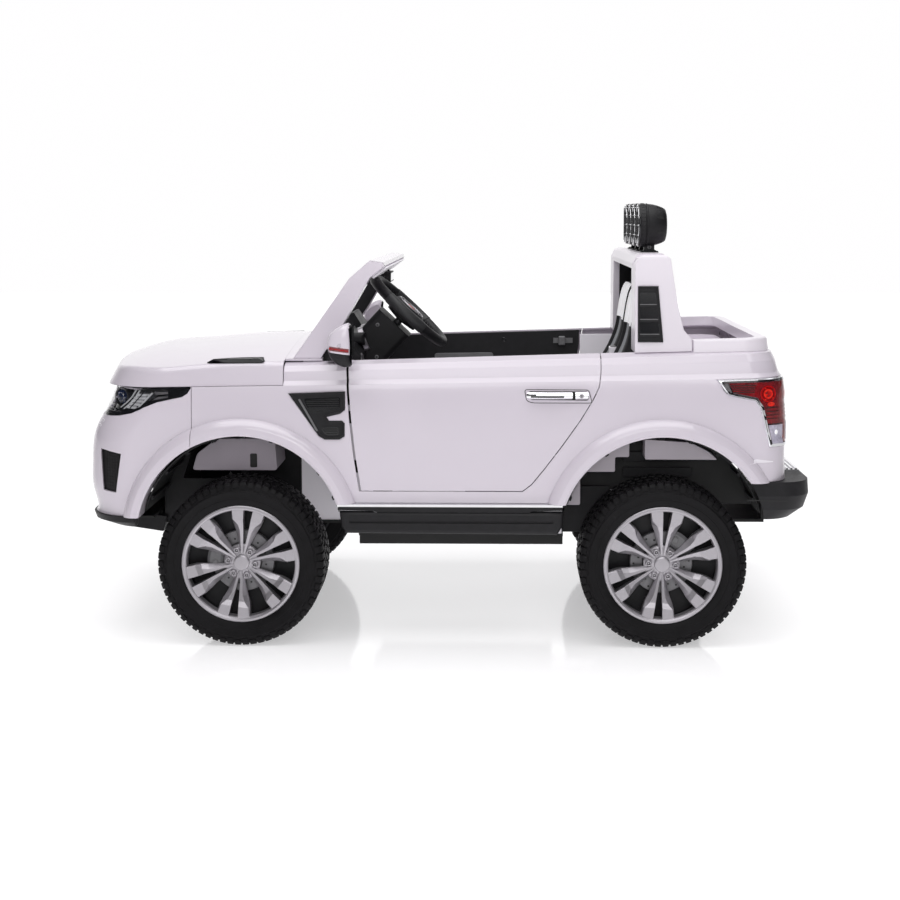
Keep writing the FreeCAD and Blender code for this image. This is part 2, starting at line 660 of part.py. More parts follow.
def knuckle():
    """Left upright: kingpin, stub axle and steering arm."""
    y = KINGPIN_Y
    up = V(0, 0, 1)
    out = V(0, 1, 0)
    arm_z = AXLE_Z + 28
    block = cyl(V(FRONT_X, y, AXLE_Z - 28), up, KINGPIN_R, 70)
    pin = cyl(V(FRONT_X, y, AXLE_Z - 40), up, AXLE_R, 94)
    collar = cyl(V(FRONT_X, y, AXLE_Z), out, KINGPIN_R + 2, TYRE_IN - y + 16)
    stub = cyl(V(FRONT_X, y, AXLE_Z), out, AXLE_R, TYRE_OUT - y - 40)
    arm = box(FRONT_X, FRONT_X + ARM_X + 9, y - 15, y + 3, arm_z, arm_z + 13)
    post = cyl(V(FRONT_X + ARM_X, y - 6, arm_z), up, PEG_R + 3, TIE_Z - 0.4 - arm_z)
    peg = cyl(V(FRONT_X + ARM_X, y - 6, arm_z), up, PEG_R, TIE_Z + 14 - arm_z)
    return fuse([block, pin, collar, stub, arm, post, peg])


def tie_rod():
    """Flat bar between the steering arms with a slotted fork for the crank."""
    x = FRONT_X + ARM_X
    eye = KINGPIN_Y - 6
    top = TIE_Z + TIE_T
    wide = PEG_R + 0.8
    bar = box(x - 10, x + 10, -eye, eye, TIE_Z, top)
    pads = both(box(x - 18, x + 18, eye - 14, eye + 14, TIE_Z, top))
    holes = both(box(x - 12, x + 8, eye - wide, eye + wide, TIE_Z - 1, top + 1))
    slot = PEG_R + 1.3
    fork = Part.makeBox(76, 44, 6, V(-62, -22, 0))
    fork = fork.cut(Part.makeBox(30, 2 * slot, 10, V(-18, -slot, -2)))
    fork = placed(fork, CRANK, DOWN, STEER + DOWN * (SHAFT_LEN + 13) + CRANK * CRANK_R)
    foot = box(x - 34, x + 10, DRIVER_Y - 22, DRIVER_Y + 22, TIE_Z, top)
    above = box(x - 120, x + 120, -FAR, FAR, TIE_Z, FAR)
    return fuse([bar, foot, fork.common(above)] + pads).cut(holes)


def steering_shaft():
    end = STEER + DOWN * SHAFT_LEN
    rod = cyl(STEER + DOWN * 26, DOWN, SHAFT_R, SHAFT_LEN - 26)
    web = Part.makeBox(CRANK_R + 16, 18, 9, V(-8, -9, 0))
    peg = cyl(V(CRANK_R, 0, 0), V(0, 0, 1), PEG_R, 26)
    crank = web.fuse([peg])
    return fuse([rod, placed(crank, CRANK, DOWN, end - DOWN * 9)])


def at_wheel(shape):
    """Place a shape drawn about Z at the hand wheel, its Z facing the driver, its X up the wheel."""
    return placed(shape, CRANK, DOWN * -1, STEER)


def steering_wheel():
    rim = Part.makeTorus(STEER_R, GRIP_R)
    hub = Part.makeCylinder(34, 30, V(0, 0, -26))
    spokes = []
    for angle in (90, 180, 270):
        arm = Part.makeBox(STEER_R - 24, 26, 10, V(24, -13, -8))
        spokes.append(arm.rotated(V(0, 0, 0), V(0, 0, 1), angle))
    solid = fuse([rim, hub] + spokes)
    pocket = Part.makeCylinder(24.4, 8, V(0, 0, -3.5))
    return at_wheel(solid.cut(pocket))


def horn_button():
    return at_wheel(softened(Part.makeCylinder(24, 9.5, V(0, 0, 0)), 2.5, lambda e: e.BoundBox.ZMin > 5))


def column_shroud():
    body = Part.makeBox(84, 88, 118, V(-38, -44, 36))
    body = softened(body, 12.0, lambda e: e.BoundBox.ZLength > 100)
    bore = cyl(STEER + DOWN * 30, DOWN, SHAFT_R + CLEAR, 140)
    return placed(body, CRANK, DOWN, STEER).cut([bore, dashboard_block(), instrument_hood()])


def rear_axle():
    return cyl(V(REAR_X, -TYRE_OUT + 40, AXLE_Z), V(0, 1, 0), AXLE_R, 2 * TYRE_OUT - 80)


def drive_unit():
    """Left gearbox and motor; the axle runs through."""
    inner = TYRE_IN - 87
    case = box(REAR_X - 44, REAR_X + 78, inner, TYRE_IN - 5, AXLE_Z - 52, FLOOR_Z - CLEAR)
    case = softened(case, 12.0, lambda e: not flat_in_y(e))
    motor = cyl(V(REAR_X + 48, inner - 66, AXLE_Z + 6), V(0, 1, 0), 24, 66.5)
    return fuse([case, motor]).cut(cyl(V(REAR_X, 0, AXLE_Z), V(0, 1, 0), AXLE_R + 0.05, FAR))


def battery():
    """Battery under the seat with its terminals and the controller on top."""
    pack = box(REAR_X + 200, REAR_X + 350, -150, 150, DECK_Z + 10.6, DECK_Z + 110)
    top = DECK_Z + 110
    cap = [box(REAR_X + 290, REAR_X + 320, s * 60 - 9, s * 60 + 9, top, top + 8) for s in (1, -1)]
    control = box(REAR_X + 210, REAR_X + 270, -40, 40, top, top + 20)
    return fuse([pack, control] + cap)


# Wheels, drawn about the Y axis for the left side
def turned(points, x, y):
    face = polygon([V(x, y + dy, AXLE_Z + r) for r, dy in points])
    return face.revolve(V(x, 0, AXLE_Z), V(0, 1, 0), 360)


def tyre(x):
    low = [(RIM_R, 4), (RIM_R + 14, 1), (RIM_R + 28, 0), (RIM_R + 30, 2)]
    side = low + [(TYRE_R - 12, 3), (TYRE_R - 3, 10), (TYRE_R, 20)]
    profile = side + [(r, TYRE_W - dy) for r, dy in reversed(side)]
    ring = turned(profile, x, TYRE_IN)
    grooves = []
    for dy in (TYRE_W / 2 - 22, TYRE_W / 2 + 22):
        base = TYRE_R - 6
        edge = TYRE_R + 5
        grooves.append(turned([(base, dy - 4), (base, dy + 4), (edge, dy + 4), (edge, dy - 4)], x, TYRE_IN))
    return ring.cut(grooves)


def wheel(x):
    """Barrel, web and hub of a left wheel."""
    w = TYRE_W
    hub = 26
    bore = AXLE_R + CLEAR
    barrel = RIM_R - 6
    profile = [(bore, 22), (hub, 22), (hub, 58), (barrel, 58), (barrel, 6), (RIM_R, 4), (RIM_R, w - 4)]
    profile += [(barrel, w - 8), (barrel, 64), (hub, 64), (hub, w - 32), (bore, w - 32)]
    return turned(profile, x, TYRE_IN)


def cover_spoke(x):
    """One spoke of the cover pointing up: flat at the rim, sloping in towards the hub."""
    w = TYRE_W
    face = TYRE_IN + w - 14
    knee = RIM_R - 40
    tip = RIM_R - 9
    outline = [(-4, 24), (-12, knee), (-12, tip), (12, tip), (12, knee), (5, 24)]
    spoke = prism_y([(x + dx, AXLE_Z + r) for dx, r in outline], TYRE_IN + w - 28, TYRE_IN + w - 6)
    high = AXLE_Z + knee + 2
    slope = [(face - 10, AXLE_Z), (face + 8.5, high), (face + 40, high), (face + 40, AXLE_Z)]
    return spoke.cut(prism_x(slope, x - 60, x + 60))


def wheel_cover(x):
    """Spoked cover: six pairs of spokes, a ring and a hub with its nuts."""
    w = TYRE_W
    lip = RIM_R - 6.2
    rim = [(RIM_R - 11, w - 16), (lip, w - 16), (lip, w - 6), (RIM_R - 0.5, w - 3.8), (RIM_R - 9, w - 3)]
    parts = [turned(rim, x, TYRE_IN)]
    parts.append(turned([(0, w - 31.7), (34, w - 31.7), (36, w - 22), (16, w - 16), (0, w - 15)], x, TYRE_IN))
    spoke = cover_spoke(x)
    for k in range(SPOKE_PAIRS):
        angle = 360 / SPOKE_PAIRS * k + 4
        for turn in (-9.6, 9.6):
            parts.append(spoke.rotated(V(x, 0, AXLE_Z), V(0, 1, 0), angle + turn))
        a = math.radians(angle + 180 / SPOKE_PAIRS)
        nut = V(x + 26 * math.sin(a), TYRE_IN + w - 30, AXLE_Z + 26 * math.cos(a))
        parts.append(cyl(nut, V(0, 1, 0), 6, 15))
    return fuse(parts)


# Cabin
def cabin_tub():
    """Open tray of the cabin with the firewall and the narrow footwell."""
    wide0 = REAR_X + 195
    wide1 = FRONT_X - 230
    nose = FRONT_X - 96
    slim = BODY_HALF - 112
    top = FOOTWELL_TOP
    outline = [(nose, FOOT_HALF), (wide1, FOOT_HALF), (wide1, CABIN_HALF), (wide0, CABIN_HALF)]
    outline += [(wide0, slim), (ROLL_X - 40, slim)]
    outline += [(x, -y) for x, y in reversed(outline)]
    tray = prism_z(outline, DECK_Z, SILL_Z + 8)
    tray = tray.cut(prism_z(inset_outline(outline, WALL), DECK_Z + WALL, SILL_Z + 20))
    parts = [tray, box(nose - WALL, nose, -FOOT_HALF, FOOT_HALF, DECK_Z, top + 70)]
    parts += both(box(wide1 - WALL, wide1, FOOT_HALF, CABIN_HALF, DECK_Z, top))
    parts += both(box(wide1 - WALL, nose, FOOT_HALF - WALL, FOOT_HALF, DECK_Z, top))
    parts.append(box(wide1 - WALL, nose, -FOOT_HALF, FOOT_HALF, top - WALL, top))
    return fuse(parts).cut(cyl(STEER + DOWN * 150, DOWN, 16, 300))


def front_bulkhead():
    """Box between the front wheels that carries the column bearing, the hood and the bumper."""
    x0 = FRONT_X - 95.6
    x1 = FRONT_X + 190
    half = DECK_HALF + WALL
    plate = prism_y([(x0, DECK_Z), (x0, 512), (x1, 500), (x1, DECK_Z)], DECK_HALF, half)
    hole = from_front([(12, 300), (40, 368), (128, 372), (150, 300)])
    notch = box(FRONT_X + ARM_X - 34, FRONT_X + ARM_X + 34, 0, FAR, TIE_Z - 8, TIE_Z + 24)
    parts = [box(x1 - WALL, x1, -half, half, DECK_Z, 500)] + both(plate.cut([prism_y(hole, 0, FAR), notch]))
    edge = BODY_HALF - 6.6
    shelf = box(x0, BUMPER_X - 4, -edge, edge, SHELF_Z, SHELF_Z + WALL)
    shelf = shelf.fuse([box(x0, x1, -TRIM_Y, TRIM_Y, SHELF_Z, SHELF_Z + WALL)])
    gap = TYRE_IN - 103
    parts.append(shelf.cut(box(FRONT_X - 40, FRONT_X + 60, -gap, gap, SHELF_Z - 10, SHELF_Z + 10)))
    seat = STEER + DOWN * 440
    parts.append(box(seat.x - 16, seat.x + 16, DRIVER_Y - 22, DECK_HALF, seat.z - 18, seat.z + 18))
    return fuse(parts).cut(cyl(STEER + DOWN * 150, DOWN, SHAFT_R + CLEAR, 360))


def dashboard_block():
    """Dash body, just above the footwell."""
    low = FOOTWELL_TOP + CLEAR
    side = [(-160, 578), (-172, 590), (-214, 588), (-232, 566), (-226, 520), (-216, low), (-160, low)]
    return prism_y(from_front(side), 56 - BODY_HALF, BODY_HALF - 56)


def instrument_hood():
    return box(FRONT_X - 232, FRONT_X - 190, DRIVER_Y - 70, DRIVER_Y + 70, 580, 606)


def dashboard():
    """Dash body with an instrument hood, centre screen and console down to the floor."""
    body = softened(dashboard_block(), 10.0, lambda e: not flat_in_y(e) and e.BoundBox.ZMin > 540)
    hood_top = softened(instrument_hood(), 10.0, flat_in_y)
    screen = from_front([(-224, 584), (-192, 636), (-182, 632), (-206, 584)])
    panel = softened(prism_y(screen, -95, BUTTON.y), 3.0, lambda e: not flat_in_y(e))
    foot = DECK_Z + WALL + 0.2
    top = FOOTWELL_TOP + 0.6
    stack = [(-205, 520), (-224, 500), (-258, 440), (-268, 300), (-268, foot), (-234.5, foot)]
    console = prism_y(from_front(stack + [(-234.5, top), (-205, top)]), -52, 52)
    solid = fuse([body, hood_top, panel, console])
    wells = [cyl(BUTTON - BUTTON_DIR * 8, BUTTON_DIR, 11 + 0.4, 30), gear_well()]
    column = cyl(STEER + DOWN * 60, DOWN, SHAFT_R + CLEAR, 220)
    return solid.cut(wells + [column, cabin_tub(), cowl_frame()])


def gear_well():
    return box(GEAR.x - 40, GEAR.x + 8, -9, 9, GEAR.z - 34, GEAR.z + 60)


def start_button():
    button = cyl(BUTTON - BUTTON_DIR * 4, BUTTON_DIR, 11, 9)
    return softened(button, 1.5, lambda e: e.BoundBox.XMax < BUTTON.x)


def gear_lever():
    """Forward and reverse lever rocking on a cross pin in the console."""
    foot = V(GEAR.x, 0, GEAR.z - 20)
    rake = math.radians(GEAR_RAKE)
    pin = cyl(foot - V(0, 8.6, 0), V(0, 1, 0), 5, 17.2)
    stem = Part.makeBox(9, 11, 64, foot - V(4.5, 5.5, 2)).rotated(foot, V(0, 1, 0), -GEAR_RAKE)
    tip = foot + V(-math.sin(rake), 0, math.cos(rake)) * 66
    return fuse([pin, stem, Part.makeSphere(15, tip)])


def accelerator_pedal():
    """Foot pad hinged on a cross pin just above the floor."""
    pad = Part.makeBox(10, 70, 112, PEDAL - V(5, 35, 4)).rotated(PEDAL, V(0, 1, 0), -28)
    pad = softened(pad, 3.0, lambda e: True)
    pin = cyl(PEDAL - V(0, 44, 0), V(0, 1, 0), 6, 88)
    return fuse([pad, pin])


def pedal_base():
    ear = box(PEDAL.x - 11, PEDAL.x + 11, 0, 5, DECK_Z + WALL, DECK_Z + 28)
    ears = [ear.translated(V(0, PEDAL.y + dy, 0)) for dy in (-41.6, 38.8)]
    return fuse(ears).cut(cyl(PEDAL - V(0, 50, 0), V(0, 1, 0), 6 + CLEAR, 100))


# Seat base and cushions
def seat_bench():
    """Moulded seat base over the battery with two bucket backs."""
    x0 = REAR_X + 34
    x1 = REAR_X + 385
    low = DECK_Z + 4.3
    half = BODY_HALF - 76
    side = [(x1, low), (x1 + 6, 366), (x1 - 6, 378), (x0, 357.8), (x0, low)]
    base = prism_y(side, -half, half).cut(prism_y(inset_outline(side, 6), 6 - half, half - 6))
    base = base.cut(both(box(REAR_X, REAR_X + 250, half - 42, half + 26, 0, FAR)))
    w = SEAT_W / 2
    crown = w - 34
    shell = [(-w - 6, -20), (-w + 2, 190), (-crown, 318), (crown, 318), (w - 2, 190), (w + 6, -20)]
    plate = softened(prism_x(shell, -14, -6), 3.0, lambda e: e.BoundBox.XLength < 0.1 and e.BoundBox.ZMin > 5)
    plate = plate.rotated(V(0, 0, 0), V(0, 1, 0), -BACK_TILT).translated(V(REAR_X + 50.4, SEAT_Y, 372))
    return fuse([base] + both(plate.common(box(-FAR, FAR, -FAR, FAR, 352.4, FAR))))


def cushion_section(x, top, half, dip):
    """One cross-section of a padded block, with a dip beside each side roll."""
    shelf = half * 0.42
    left = [V(x, 5 - half, 0), V(x, -half, top * 0.45), V(x, 7 - half, top * 0.82), V(x, -shelf - 6, top)]
    right = [V(x, -p.y, p.z) for p in left]
    inner = V(x, shelf, dip)
    edges = []
    for row in (left, right):
        side = -1 if row is left else 1
        bows = (V(0, 1.5 * side, 0), V(0, 1.5 * side, 1.0), V(0, 0, 3.0))
        for a, b, bow in zip(row, row[1:], bows):
            edges.append(Part.Arc(a, (a + b) * 0.5 + bow, b).toShape())
        edges.append(Part.LineSegment(row[3], V(x, side * shelf, dip)).toShape())
    edges.append(Part.Arc(V(x, -shelf, dip), V(x, 0, top * 0.96), inner).toShape())
    edges.append(Part.LineSegment(right[0], left[0]).toShape())
    return Part.Wire(Part.__sortEdges__(edges))


def cushion(width, depth, thick, dip):
    """A padded block: crowned top, sides drawn in at the foot and two stitched channels."""
    front = ((0, 0.45, 16), (10, 0.86, 5), (depth * 0.3, 1.0, 0))
    rear = ((depth * 0.7, 0.98, 0), (depth - 12, 0.84, 6), (depth, 0.42, 18))
    sections = []
    for x, lift, draw in front + rear:
        top = thick * lift
        sections.append(cushion_section(x, top, width / 2 - draw, top - dip * lift))
    return Part.makeLoft(sections, True, False)


def seat_pads():
    """Two seat cushions and two back cushions."""
    origin = V(0, 0, 0)
    across = V(0, 1, 0)
    tilt = math.radians(BACK_TILT)
    seat = cushion(SEAT_W, 297, 42, 9).rotated(origin, across, -3.3)
    seat = seat.translated(V(REAR_X + 78, SEAT_Y, 360.9))
    back = cushion(SEAT_W - 16, 264, 30, 6).rotated(origin, V(1, 0, 0), 180)
    back = back.rotated(origin, across, -90 - BACK_TILT)
    rise = V(-math.sin(tilt), 0, math.cos(tilt)) * 50
    back = back.translated(V(REAR_X + 45, SEAT_Y, 372) + rise)
    return both(seat) + both(back)


# Lamps, grilles and trim
def headlight_parts():
    outline = inset_outline(headlight_outline(), 0.7)
    inner = LAMP_SPLIT + 0.7
    lens = skin_patch(outline, inner, FAR, 0.0, 2.5)
    block = lower_solid(2.6, 0.0).common(prism_y(outline, inner, FAR)).cut(lower_solid(19.0, 30.0))
    bowl = from_nose([(16, 455), (-62, 456), (-110, 467), (-142, 483), (-184, 491), (-184, 506), (16, 507)])
    return lens, block.cut(prism_y(bowl, LAMP_SPLIT + 4, FAR).cut(lower_solid(15.0, 30.0)))


def grille_patches():
    """Front grille, lower grille, fog grilles, wing vents and hoop louvres."""
    inside = lower_solid(WALL + 0.2, 0.0)
    hollow = lower_solid(WALL + 5.0, 30.0)
    lamps = prism_y(inset_outline(headlight_outline(), -1.0), LAMP_SPLIT - 1, FAR)
    upper = inside.common(grille_cut(LAMP_SPLIT - 8, LAMP_SPLIT + 2, 447, 514))
    solids = [upper.cut([hollow] + both(lamps)), inside.common(lower_grille(7)).cut(hollow)]
    fog = inside.common(prism_y(inset_outline(fog_outline(), -6.0), FOG_Y, FAR)).cut(hollow)
    vent = skin_patch(inset_outline(vent_outline(), 0.6), TRIM_Y, FAR, 1.5, 5.5)
    return solids + both(fog) + both(vent) + both(roll_vent(0.6, -39.8, -34.0))


def hood_vents():
    return both(hood_shell().common(prism_y(inset_outline(hood_vent_outline(), 0.6), BODY_HALF - 59.4, FAR)))


def tail_parts():
    """Left tail lamp lens and the bright frame around it."""
    red = skin_patch(inset_outline(tail_outline(), 7.4), TAIL_SPLIT + 7.4, FAR, 1.0, 6.0)
    frame = skin_patch(inset_outline(tail_outline(), SEAM), TAIL_SPLIT + SEAM, FAR, 2.5, 9.0)
    hole = prism_y(inset_outline(tail_outline(), 6.6), TAIL_SPLIT + 6.6, FAR)
    return red, frame.cut(hole)


def sill_strip():
    top = SILL_Z - CLEAR
    front = [(-190, top), (-193, SILL_Z - 12), (-262, SILL_Z - 13), (-268, SILL_Z - 16)]
    rear = [(262, SILL_Z - 16), (256, SILL_Z - 13), (197, SILL_Z - 12), (196, top)]
    return prism_y(from_front(front) + from_rear(rear), BODY_HALF - 34, BODY_HALF + 10)


def bumper_step():
    """Ribbed plate on top of the rear bumper."""
    half = BODY_HALF - 122
    x = 4 - NOSE_X
    plate = box(x, x + 42, -half, half, TAIL_Z - CLEAR, TAIL_Z + 4)
    ribs = [box(x + 4 + 9 * k, x + 8 + 9 * k, 6 - half, half - 6, TAIL_Z + 4, TAIL_Z + 6) for k in range(4)]
    return fuse([plate] + ribs)


def side_step():
    top = SILL_Z - 14
    front = from_front([(-195, top), (-198, top - 30), (-206, top - 44)])
    side = front + from_rear([(206, top - 46), (196, top - 30), (194, top)])
    edge = BODY_HALF + 12
    board = softened(prism_y(side, CABIN_HALF + CLEAR, edge), 9.0, lambda e: e.BoundBox.YMin > edge - 2)
    line = from_front([(-215, top - 18), (-215, top - 23)]) + from_rear([(215, top - 23), (215, top - 18)])
    hollow = prism_y(inset_outline(side, 7), 0, BODY_HALF + 2)
    return board.cut([prism_y(line, edge - 3, FAR), sill_strip(), hollow])


def spotlight(y):
    """Round lamp on a short stem: housing, lens and wire guard."""
    back = ROLL_X - 73.5
    centre = V(back, y, LAMP_Z)
    forward = V(1, 0, 0)

    def spun(profile):
        face = polygon([centre + V(dx, 0, r) for r, dx in profile])
        return face.revolve(centre, forward, 360)

    lip = LAMP_R - 4
    barrel = [(0, 0), (30, 0), (34, 3), (38, 11), (42, 23), (LAMP_R, 36)]
    housing = spun(barrel + [(LAMP_R, 54), (lip, 54), (lip, 46), (0, 46)])
    stem = box(back + 22, back + 44, y - 10, y + 10, ROLL_TOP_Z, LAMP_Z - LAMP_R + 14)
    lens = cyl(centre + forward * 46, forward, lip - 0.2, 4)
    bars = [spun([(lip - 0.5, 54), (LAMP_R, 54), (LAMP_R, 57), (lip - 0.5, 57)])]
    for k in (-2, -1, 0, 1, 2):
        h = k * 14.0
        reach = math.sqrt((LAMP_R - 2) ** 2 - h * h)
        bars.append(box(back + 54, back + 57, y - reach, y + reach, LAMP_Z + h - 1.3, LAMP_Z + h + 1.3))
        bars.append(box(back + 54, back + 57, y + h - 1.3, y + h + 1.3, LAMP_Z - reach, LAMP_Z + reach))
    return fuse([housing, stem]), lens, fuse(bars)


def mirror():
    """Left mirror: foot on the wing beside the pillar, stalk and head."""
    foot = from_front([(-168, 550), (-204, 550), (-204, 572), (-196, 592), (-176, 572)])
    base = prism_y(foot, BODY_HALF - 38, BODY_HALF - 28).cut(OUTER_TOP)
    arm = box(FRONT_X - 202, FRONT_X - 184, BODY_HALF - 30, BODY_HALF + 14, 570, 584)
    side = [(-180, 572), (-182, 632), (-190, 640), (-222, 634), (-226, 600), (-218, 570), (-196, 566)]
    head = softened(prism_y(from_front(side), BODY_HALF - 2, BODY_HALF + 56), 9.0, lambda e: True)
    return fuse([base, arm, head])


# Write every node
def save(name, shapes):
    shape = shapes[0] if len(shapes) == 1 else Part.makeCompound(shapes)
    shape.exportStep("parts/" + name + ".step")
    print(name, len(shape.Solids), shape.isValid(), shape.BoundBox)


def save_pair(name, shape):
    save(name + "_left", [shape])
    save(name + "_right", [mirrored(shape)])


def main():
    os.makedirs("parts", exist_ok=True)
    save("floor_pan", [floor_pan()])
    save("front_axle_beam", [front_axle_beam()])
    save("rear_axle", [rear_axle()])
    save("drive_units", both(drive_unit()))
    save("battery_and_controller", [battery()])
    save("cabin_tub", [fuse([cabin_tub(), pedal_base()])])
    save("front_bulkhead", [front_bulkhead()])
    save("front_bumper", [front_bumper()])
    save("front_lip", [front_lip()])
    save("grilles_and_vents", grille_patches() + hood_vents())
    lens, bucket = headlight_parts()
    save("headlight_housings", both(bucket))
    lamps = [spotlight(LAMP_PITCH * (k - 1.5)) for k in range(4)]
    save("lamp_lenses", both(lens) + [lamp[1] for lamp in lamps])
    save("spotlight_housings", [lamp[0] for lamp in lamps])
    save("spotlight_guards", [lamp[2] for lamp in lamps])
    save("hood", [hood()])
    save_pair("body_side", body_side())
    save("tail_panel", [tail_panel()])
    save("windscreen_frame", [cowl_frame()])
    save("dashboard", [dashboard()])
    save("column_shroud", [column_shroud()])
    save("roll_bar", [roll_bar()])
    save("roll_bar_panel", [roll_bar_panel()])
    save("bed_tub", [bed_tub()])
    red, frame = tail_parts()
    save("tail_light_lenses", both(red))
    save("bright_trim", both(frame) + both(sill_strip()) + [bumper_step()])
    save("rear_bumper", [rear_bumper()])
    save("side_steps", both(side_step()))
    save("seat_bench", [seat_bench()])
    save("seat_pads", seat_pads())
    save("mirrors", both(mirror()))
    for place, x in (("front", FRONT_X), ("rear", REAR_X)):
        save_pair("tyre_" + place, tyre(x))
        save_pair("wheel_" + place, wheel(x))
        save_pair("wheel_cover_" + place, wheel_cover(x))
    save("steering_wheel", [steering_wheel()])
    save("steering_shaft", [steering_shaft()])
    save("horn_button", [horn_button()])
    save_pair("knuckle", knuckle())
    save("tie_rod", [tie_rod()])
    save_pair("door", door_panel())
    save_pair("door_trim", door_trim())
    save_pair("door_handle", door_handle())
    save_pair("door_latch", door_latch())
    save("accelerator_pedal", [accelerator_pedal()])
    save("gear_lever", [gear_lever()])
    save("start_button", [start_button()])


if __name__ == "__main__":
    main()
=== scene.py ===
import bpy
import math
from mathutils import Matrix, Vector
from mathutils.bvhtree import BVHTree
from mathutils.geometry import delaunay_2d_cdt


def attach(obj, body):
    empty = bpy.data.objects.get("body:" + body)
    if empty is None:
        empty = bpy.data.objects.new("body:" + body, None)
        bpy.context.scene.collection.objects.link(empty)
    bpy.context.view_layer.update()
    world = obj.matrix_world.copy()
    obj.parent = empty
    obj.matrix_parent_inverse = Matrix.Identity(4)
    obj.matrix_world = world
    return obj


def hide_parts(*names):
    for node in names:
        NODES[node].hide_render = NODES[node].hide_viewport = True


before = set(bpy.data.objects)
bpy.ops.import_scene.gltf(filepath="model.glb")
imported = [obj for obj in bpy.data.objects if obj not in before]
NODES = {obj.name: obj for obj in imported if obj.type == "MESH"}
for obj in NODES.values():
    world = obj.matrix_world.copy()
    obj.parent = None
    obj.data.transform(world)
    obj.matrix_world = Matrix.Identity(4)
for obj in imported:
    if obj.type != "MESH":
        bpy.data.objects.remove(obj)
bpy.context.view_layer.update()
SCENE = bpy.context.scene

MM = 0.001

# Places in millimetres, the same as in the CAD source
FRONT_X = 398.5
REAR_X = -428.5
AXLE_Z = 164.0
WHEEL_Y = 309.0
STEER = Vector((81.0, 128.0, 648.0))
TILT = math.radians(43.1)
DOWN = Vector((math.sin(TILT), 0, -math.cos(TILT)))
CRANK = Vector((math.cos(TILT), 0, math.sin(TILT)))


# Materials: every one has a noise in its colour and gloss and a fine bump; all clear coats are alike
COAT_ROUGH = 0.08


def shader(mat, kind):
    return mat.node_tree.nodes.new("ShaderNode" + kind)


def material(name, color, rough, metal=0.0, vary=0.05, scale=30.0, grain=0.02, fine=900.0, coat=0.0,
             alpha=1.0, rounded=0.0, glow=0.0, shine=0.5):
    mat = bpy.data.materials.new(name)
    mat.use_nodes = True
    link = mat.node_tree.links.new
    bsdf = mat.node_tree.nodes["Principled BSDF"]
    place = shader(mat, "TexCoord")
    cloud = shader(mat, "TexNoise")
    cloud.inputs["Scale"].default_value = scale
    cloud.inputs["Detail"].default_value = 3.0
    link(place.outputs["Object"], cloud.inputs["Vector"])
    tint = shader(mat, "ValToRGB")
    tint.color_ramp.elements[0].position = 0.3
    tint.color_ramp.elements[1].position = 0.7
    tint.color_ramp.elements[0].color = [min(1.0, c * (1 - vary)) for c in color] + [1]
    tint.color_ramp.elements[1].color = [min(1.0, c * (1 + vary)) for c in color] + [1]
    link(cloud.outputs["Fac"], tint.inputs["Fac"])
    link(tint.outputs["Color"], bsdf.inputs["Base Color"])
    gloss = shader(mat, "MapRange")
    gloss.inputs["To Min"].default_value = rough * 0.8
    gloss.inputs["To Max"].default_value = min(1.0, rough * 1.2)
    link(cloud.outputs["Fac"], gloss.inputs["Value"])
    link(gloss.outputs["Result"], bsdf.inputs["Roughness"])
    speck = shader(mat, "TexNoise")
    speck.inputs["Scale"].default_value = fine
    link(place.outputs["Object"], speck.inputs["Vector"])
    bump = shader(mat, "Bump")
    bump.inputs["Strength"].default_value = grain
    bump.inputs["Distance"].default_value = MM
    link(speck.outputs["Fac"], bump.inputs["Height"])
    if rounded:
        edge = shader(mat, "Bevel")
        edge.samples = 4
        edge.inputs["Radius"].default_value = rounded
        link(edge.outputs["Normal"], bump.inputs["Normal"])
    link(bump.outputs["Normal"], bsdf.inputs["Normal"])
    for key, value in (("Metallic", metal), ("Specular IOR Level", shine), ("Coat Weight", coat),
                       ("Coat Roughness", COAT_ROUGH), ("Alpha", alpha)):
        bsdf.inputs[key].default_value = value
    if glow:
        bsdf.inputs["Emission Strength"].default_value = glow
        link(tint.outputs["Color"], bsdf.inputs["Emission Color"])
    return mat


WHITE = material("white_gloss", (0.735, 0.675, 0.755), 0.22, vary=0.012, scale=5, grain=0.01, coat=0.6,
                 rounded=0.0022)
# The bed and roll bar white glows faintly: painted light that lifts their shaded faces.
WHITE_BED_PAINTED_GLOW = material("white_bed_painted_glow", (0.76, 0.71, 0.775), 0.3, vary=0.012, scale=5, grain=0.01, coat=0.2,
                     rounded=0.0022, glow=0.1)
# The plain white trim glows: painted light that lifts it where it lies in shade, and that paints highlights
# on the quarter notch and bumper sensors.
WHITE_TRIM_PAINTED_GLOW = material("white_plain_painted_glow", (0.74, 0.71, 0.76), 0.4, vary=0.02, scale=8, grain=0.008, glow=0.2)
BLACK = material("black_grained", (0.011, 0.0105, 0.0125), 0.46, vary=0.2, scale=60, grain=0.22, fine=1400,
                 rounded=0.0012, shine=0.3)
BLACK_GLOSS = material("black_gloss", (0.008, 0.008, 0.010), 0.14, vary=0.2, scale=20, grain=0.01, coat=0.4)
